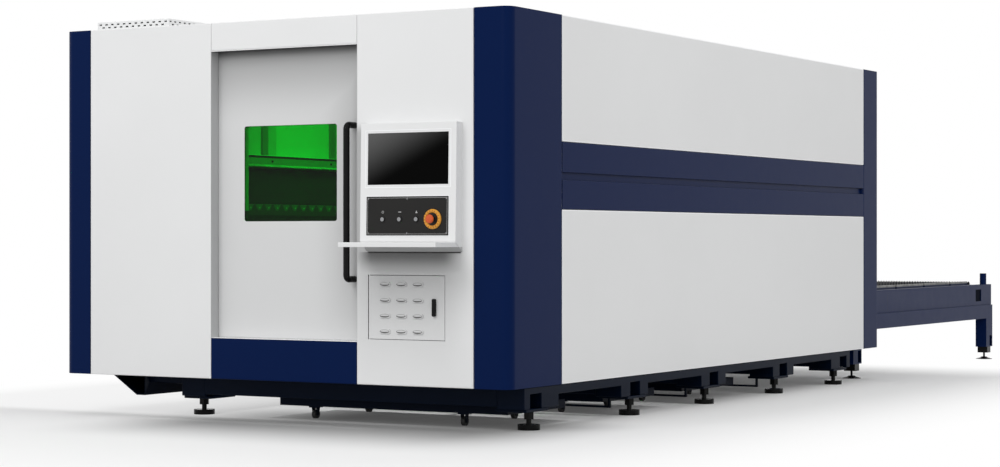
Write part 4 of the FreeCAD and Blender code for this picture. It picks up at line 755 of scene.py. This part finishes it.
def build_housing_trim():
    """Pale frames round the screen and the control plate, and a dark strip under the console: a painted
    shadow in the gap between it and the front panel.
    """
    wide, thickness, sunk = 3.5, 0.0016, -0.0005
    frames = []
    for (x0, x1), (z0, z1) in (SCREEN_FRAME, PLATE_FRAME):
        bars = [(x0 - wide, x1 + wide, z0 - wide, z0), (x0 - wide, x1 + wide, z1, z1 + wide),
                (x0 - wide, x0, z0, z1), (x1, x1 + wide, z0, z1)]
        frames += [flat_mark(rectangle(*bar), thickness, sunk) for bar in bars]
    add_closed("console_frames", frames, frame_white, "machine")
    # Painted shadow: a dark strip in the gap under the console, against the front panel.
    low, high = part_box("console_housing")
    inset, depth, below, above = 0.01, 0.005, 0.004, 0.0005
    section = rectangle(FRONT_FACE, FRONT_FACE - depth, low.z - below, low.z + above)
    shadow_strip = extruded([(low.x + inset, y, z) for y, z in section], (high.x - low.x - 2 * inset, 0, 0))
    add_closed("housing_shadow_strip", [shadow_strip], recess_black, "machine")


def build_slot_shadow_plates():
    """A dark plate behind the window near the end of each upper beam of the exchange table: a painted shadow
    in place of the shade inside the beam.
    """
    long, tall, start, foot = 0.170, 0.114, 8010, 480
    parts = []
    for inset, thickness in ((171, -0.001), (2091, 0.001)):
        outline = at(inset, start, foot) + np.array([(0, y, z) for y, z in rectangle(0, long, 0, tall)])
        parts.append(extruded(outline, (thickness, 0, 0)))
    add_closed("slot_shadow_plates", parts, slot_shadow_dark, "machine")


def build_chain_plates():
    """Paler side plates of the cable chain between its links, each an upturned trapezoid with a pin."""
    low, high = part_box("drag_chain")
    side, top, thickness = high.x, low.z + CHAIN_HEIGHT, 0.0008
    foot_half, top_half, tall, links = 0.013, 0.036, 0.036, 44
    profile = [(0, 0), (0.0045, 0), (0.0045, 0.002), (0.0025, 0.0032), (0, 0.0032)]
    plates, pins = [], []
    for number in range(1, links):
        middle = FRONT_FACE + CHAIN_START + number * CHAIN_PITCH
        outline = [(side, middle - foot_half, top - tall), (side, middle + foot_half, top - tall),
                   (side, middle + top_half, top), (side, middle - top_half, top)]
        plates.append(extruded(outline, (thickness, 0, 0)))
        place = (side + thickness, middle + 0.004, top - 0.020)
        pins.append(turned(profile, place, (1, 0, 0), (0, 0, 1), 10))
    add_closed("chain_plates", plates, plate_grey, "machine")
    add_closed("chain_pins", pins, pin_grey, "machine", True)


def build_estop_recess():
    """The dark sunk collar inside the emergency stop's ring: a turned closed profile."""
    profile = [(0.0145, 0.0062), (0.0330, 0.0062), (0.0330, 0.0085), (0.0300, 0.0072), (0.0175, 0.0072),
               (0.0175, 0.0150), (0.0145, 0.0150)]
    place = (RIGHT_SIDE - 0.421, 0, 1.108)
    collar = lean(turned(profile + profile[:1], place, (0, 1, 0), (1, 0, 0), 40))
    add_closed("estop_collar", [collar], recess_black, "machine", True)


def build_inner_wall_details():
    """Ribs on the inner wall, each a low trapezoid carried upwards, and bolts along its ledge."""
    ribs, foot, tall, wall_x = 6, 1.512, 0.63, at(2300, 0, 0)[0]
    section = ((0.0005, -0.0355), (0.011, -0.028), (0.011, 0.028), (0.0005, 0.0355))
    parts = []
    for number in range(ribs):
        middle = FIRST_RIB + number * RIB_PITCH
        parts.append(extruded([(wall_x + out, middle + along, foot) for out, along in section], (0, 0, tall)))
    add_closed("wall_ribs", parts, rib_grey, "machine")
    bolts, first, pitch, height = 7, FRONT_FACE + 0.4275, 0.627, 1.473
    profile = [(0, 0), (0.007, 0), (0.007, 0.004), (0.0045, 0.0065), (0, 0.0065)]
    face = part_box("left_inner_wall")[1].x
    parts = [turned(profile, (face, first + number * pitch, height), (1, 0, 0), (0, 0, 1), 12)
             for number in range(bolts)]
    add_closed("ledge_bolts", parts, black_coat, "machine", True)


build_slats()
build_plate_marks()
build_button_bezels()
build_louvre_shading()
build_doorway()
build_housing_trim()
build_estop_recess()
build_slot_shadow_plates()
build_chain_plates()
build_inner_wall_details()


# ---- camera, floor and light ----
def build_stage():
    """A pale floor that throws back only part of the light. It glows white with the distance from the
    machine, sqrt(sideways ** 2 + forward ** 2), and as painted light a little under it, and a painted shadow
    darkens it close in front."""
    half_width, length, side_weight, front_weight = 1.5, 5.3, 2.3, 0.7
    floor = Paint("floor_paint", None, Specular_IOR_Level=0.1, Roughness=0.7)
    seen = floor.plainly_seen()
    place = floor.place()
    x, ahead = floor.axis("X", place), FRONT_FACE - floor.axis("Y", place)
    beside, behind = x.absolute() - half_width, -length - ahead
    sideways = (beside * side_weight).larger(behind * side_weight).larger(0)
    forward = ((ahead - 0.2) * front_weight).larger(0)
    away = (sideways.power(2) + forward.power(2)).power(0.5)
    # Painted light: the floor glows a little under the machine, more under its left side.
    under = ((1 - x.ramp(-1.2, 0.2)) * 0.62 + 0.07) * (1 - ahead.ramp(-0.25, 0.05))
    # Painted shadow: darker close in front of the machine.
    front_shadow = fading(ahead, (1.20, 0.62)) * ahead.ramp(-1.0, -0.5)
    front_shadow = front_shadow * x.ramp(-1.05, -0.3) * (2.0 - x).ramp(0.0, 0.75)
    pale = floor.mix(floor.noise(0.4, 2), (0.81, 0.81, 0.81), (0.82, 0.82, 0.82))
    pale = floor.mix(front_shadow, pale, (0.02, 0.02, 0.02))
    floor.set(Base_Color=floor.mix(seen, (0.50, 0.50, 0.50), pale))
    white_floor = floor.add("ShaderNodeEmission", None, {"Color": (1.0, 1.0, 1.0), "Strength": 1.0})
    plain = Value(floor, floor.shader.outputs[0])
    glow = away.ramp(0.6, 4.4).larger(under) * seen
    surface = floor.add("ShaderNodeMixShader", None, {0: glow, 1: plain, 2: white_floor})
    floor.tree.links.new(surface.socket, floor.tree.nodes["Material Output"].inputs["Surface"])
    mesh = bpy.data.meshes.new("floor")
    mesh.from_pydata([(-60, -60, 0), (60, -60, 0), (60, 90, 0), (-60, 90, 0)], [], [(0, 1, 2, 3)])
    ground = bpy.data.objects.new("floor", mesh)
    ground.data.materials.append(floor.material)
    bpy.context.scene.collection.objects.link(ground)


def build_sky():
    """White to the camera, in gloss and through glass, and plain light of less strength for the machine."""
    world, plain = bpy.data.worlds.new("sky"), 0.72
    bpy.context.scene.world = world
    sky = Paint.of_world(world)
    sky.set(Color=(1.0, 1.0, 1.0), Strength=sky.plainly_seen() * (1 - plain) + plain)


def add_lamp(name, place, target, size, power, in_gloss):
    """A square soft lamp that faces a point, seen or not in gloss, and never by the camera itself."""
    lamp = bpy.data.lights.new(name, "AREA")
    lamp.shape, lamp.size, lamp.energy = "SQUARE", size, power
    holder = bpy.data.objects.new(name, lamp)
    holder.location = place
    direction = holder.location.copy()
    direction.x, direction.y, direction.z = (t - p for t, p in zip(target, place))
    holder.rotation_euler = direction.to_track_quat("-Z", "Y").to_euler()
    holder.visible_camera = False
    holder.visible_glossy = in_gloss
    bpy.context.scene.collection.objects.link(holder)


def build_camera():
    """The photograph's viewpoint: level, turned to the left, with its picture shifted up slightly."""
    lens, sensor, shift, turn = 80.72, 36.0, 0.0056, math.radians(30.10)
    camera = bpy.data.cameras.new("camera")
    camera.lens, camera.sensor_width, camera.shift_y = lens, sensor, shift
    camera.clip_end = 300.0
    holder = bpy.data.objects.new("camera", camera)
    holder.location = (7.2145, -14.0650, 1.004)
    holder.rotation_euler = (math.radians(90), 0.0, turn)
    bpy.context.scene.collection.objects.link(holder)
    bpy.context.scene.camera = holder


build_stage()
build_sky()
add_lamp("front_lamp", (-1.6, -11.5, 8.5), (0.2, -4.0, 1.0), 5.0, 380.0, False)
add_lamp("side_lamp", (11.0, -3.5, 8.0), (1.5, -0.5, 1.0), 5.0, 300.0, False)
add_lamp("small_lamp", (1.5, -12.5, 5.0), (0.5, -4.0, 1.2), 0.4, 70.0, True)
add_lamp("work_light", at(1000, 1200, 1850), at(1700, 1500, 900), 0.6, 22.0, False)
build_camera()
bpy.context.scene.view_settings.view_transform = "Standard"
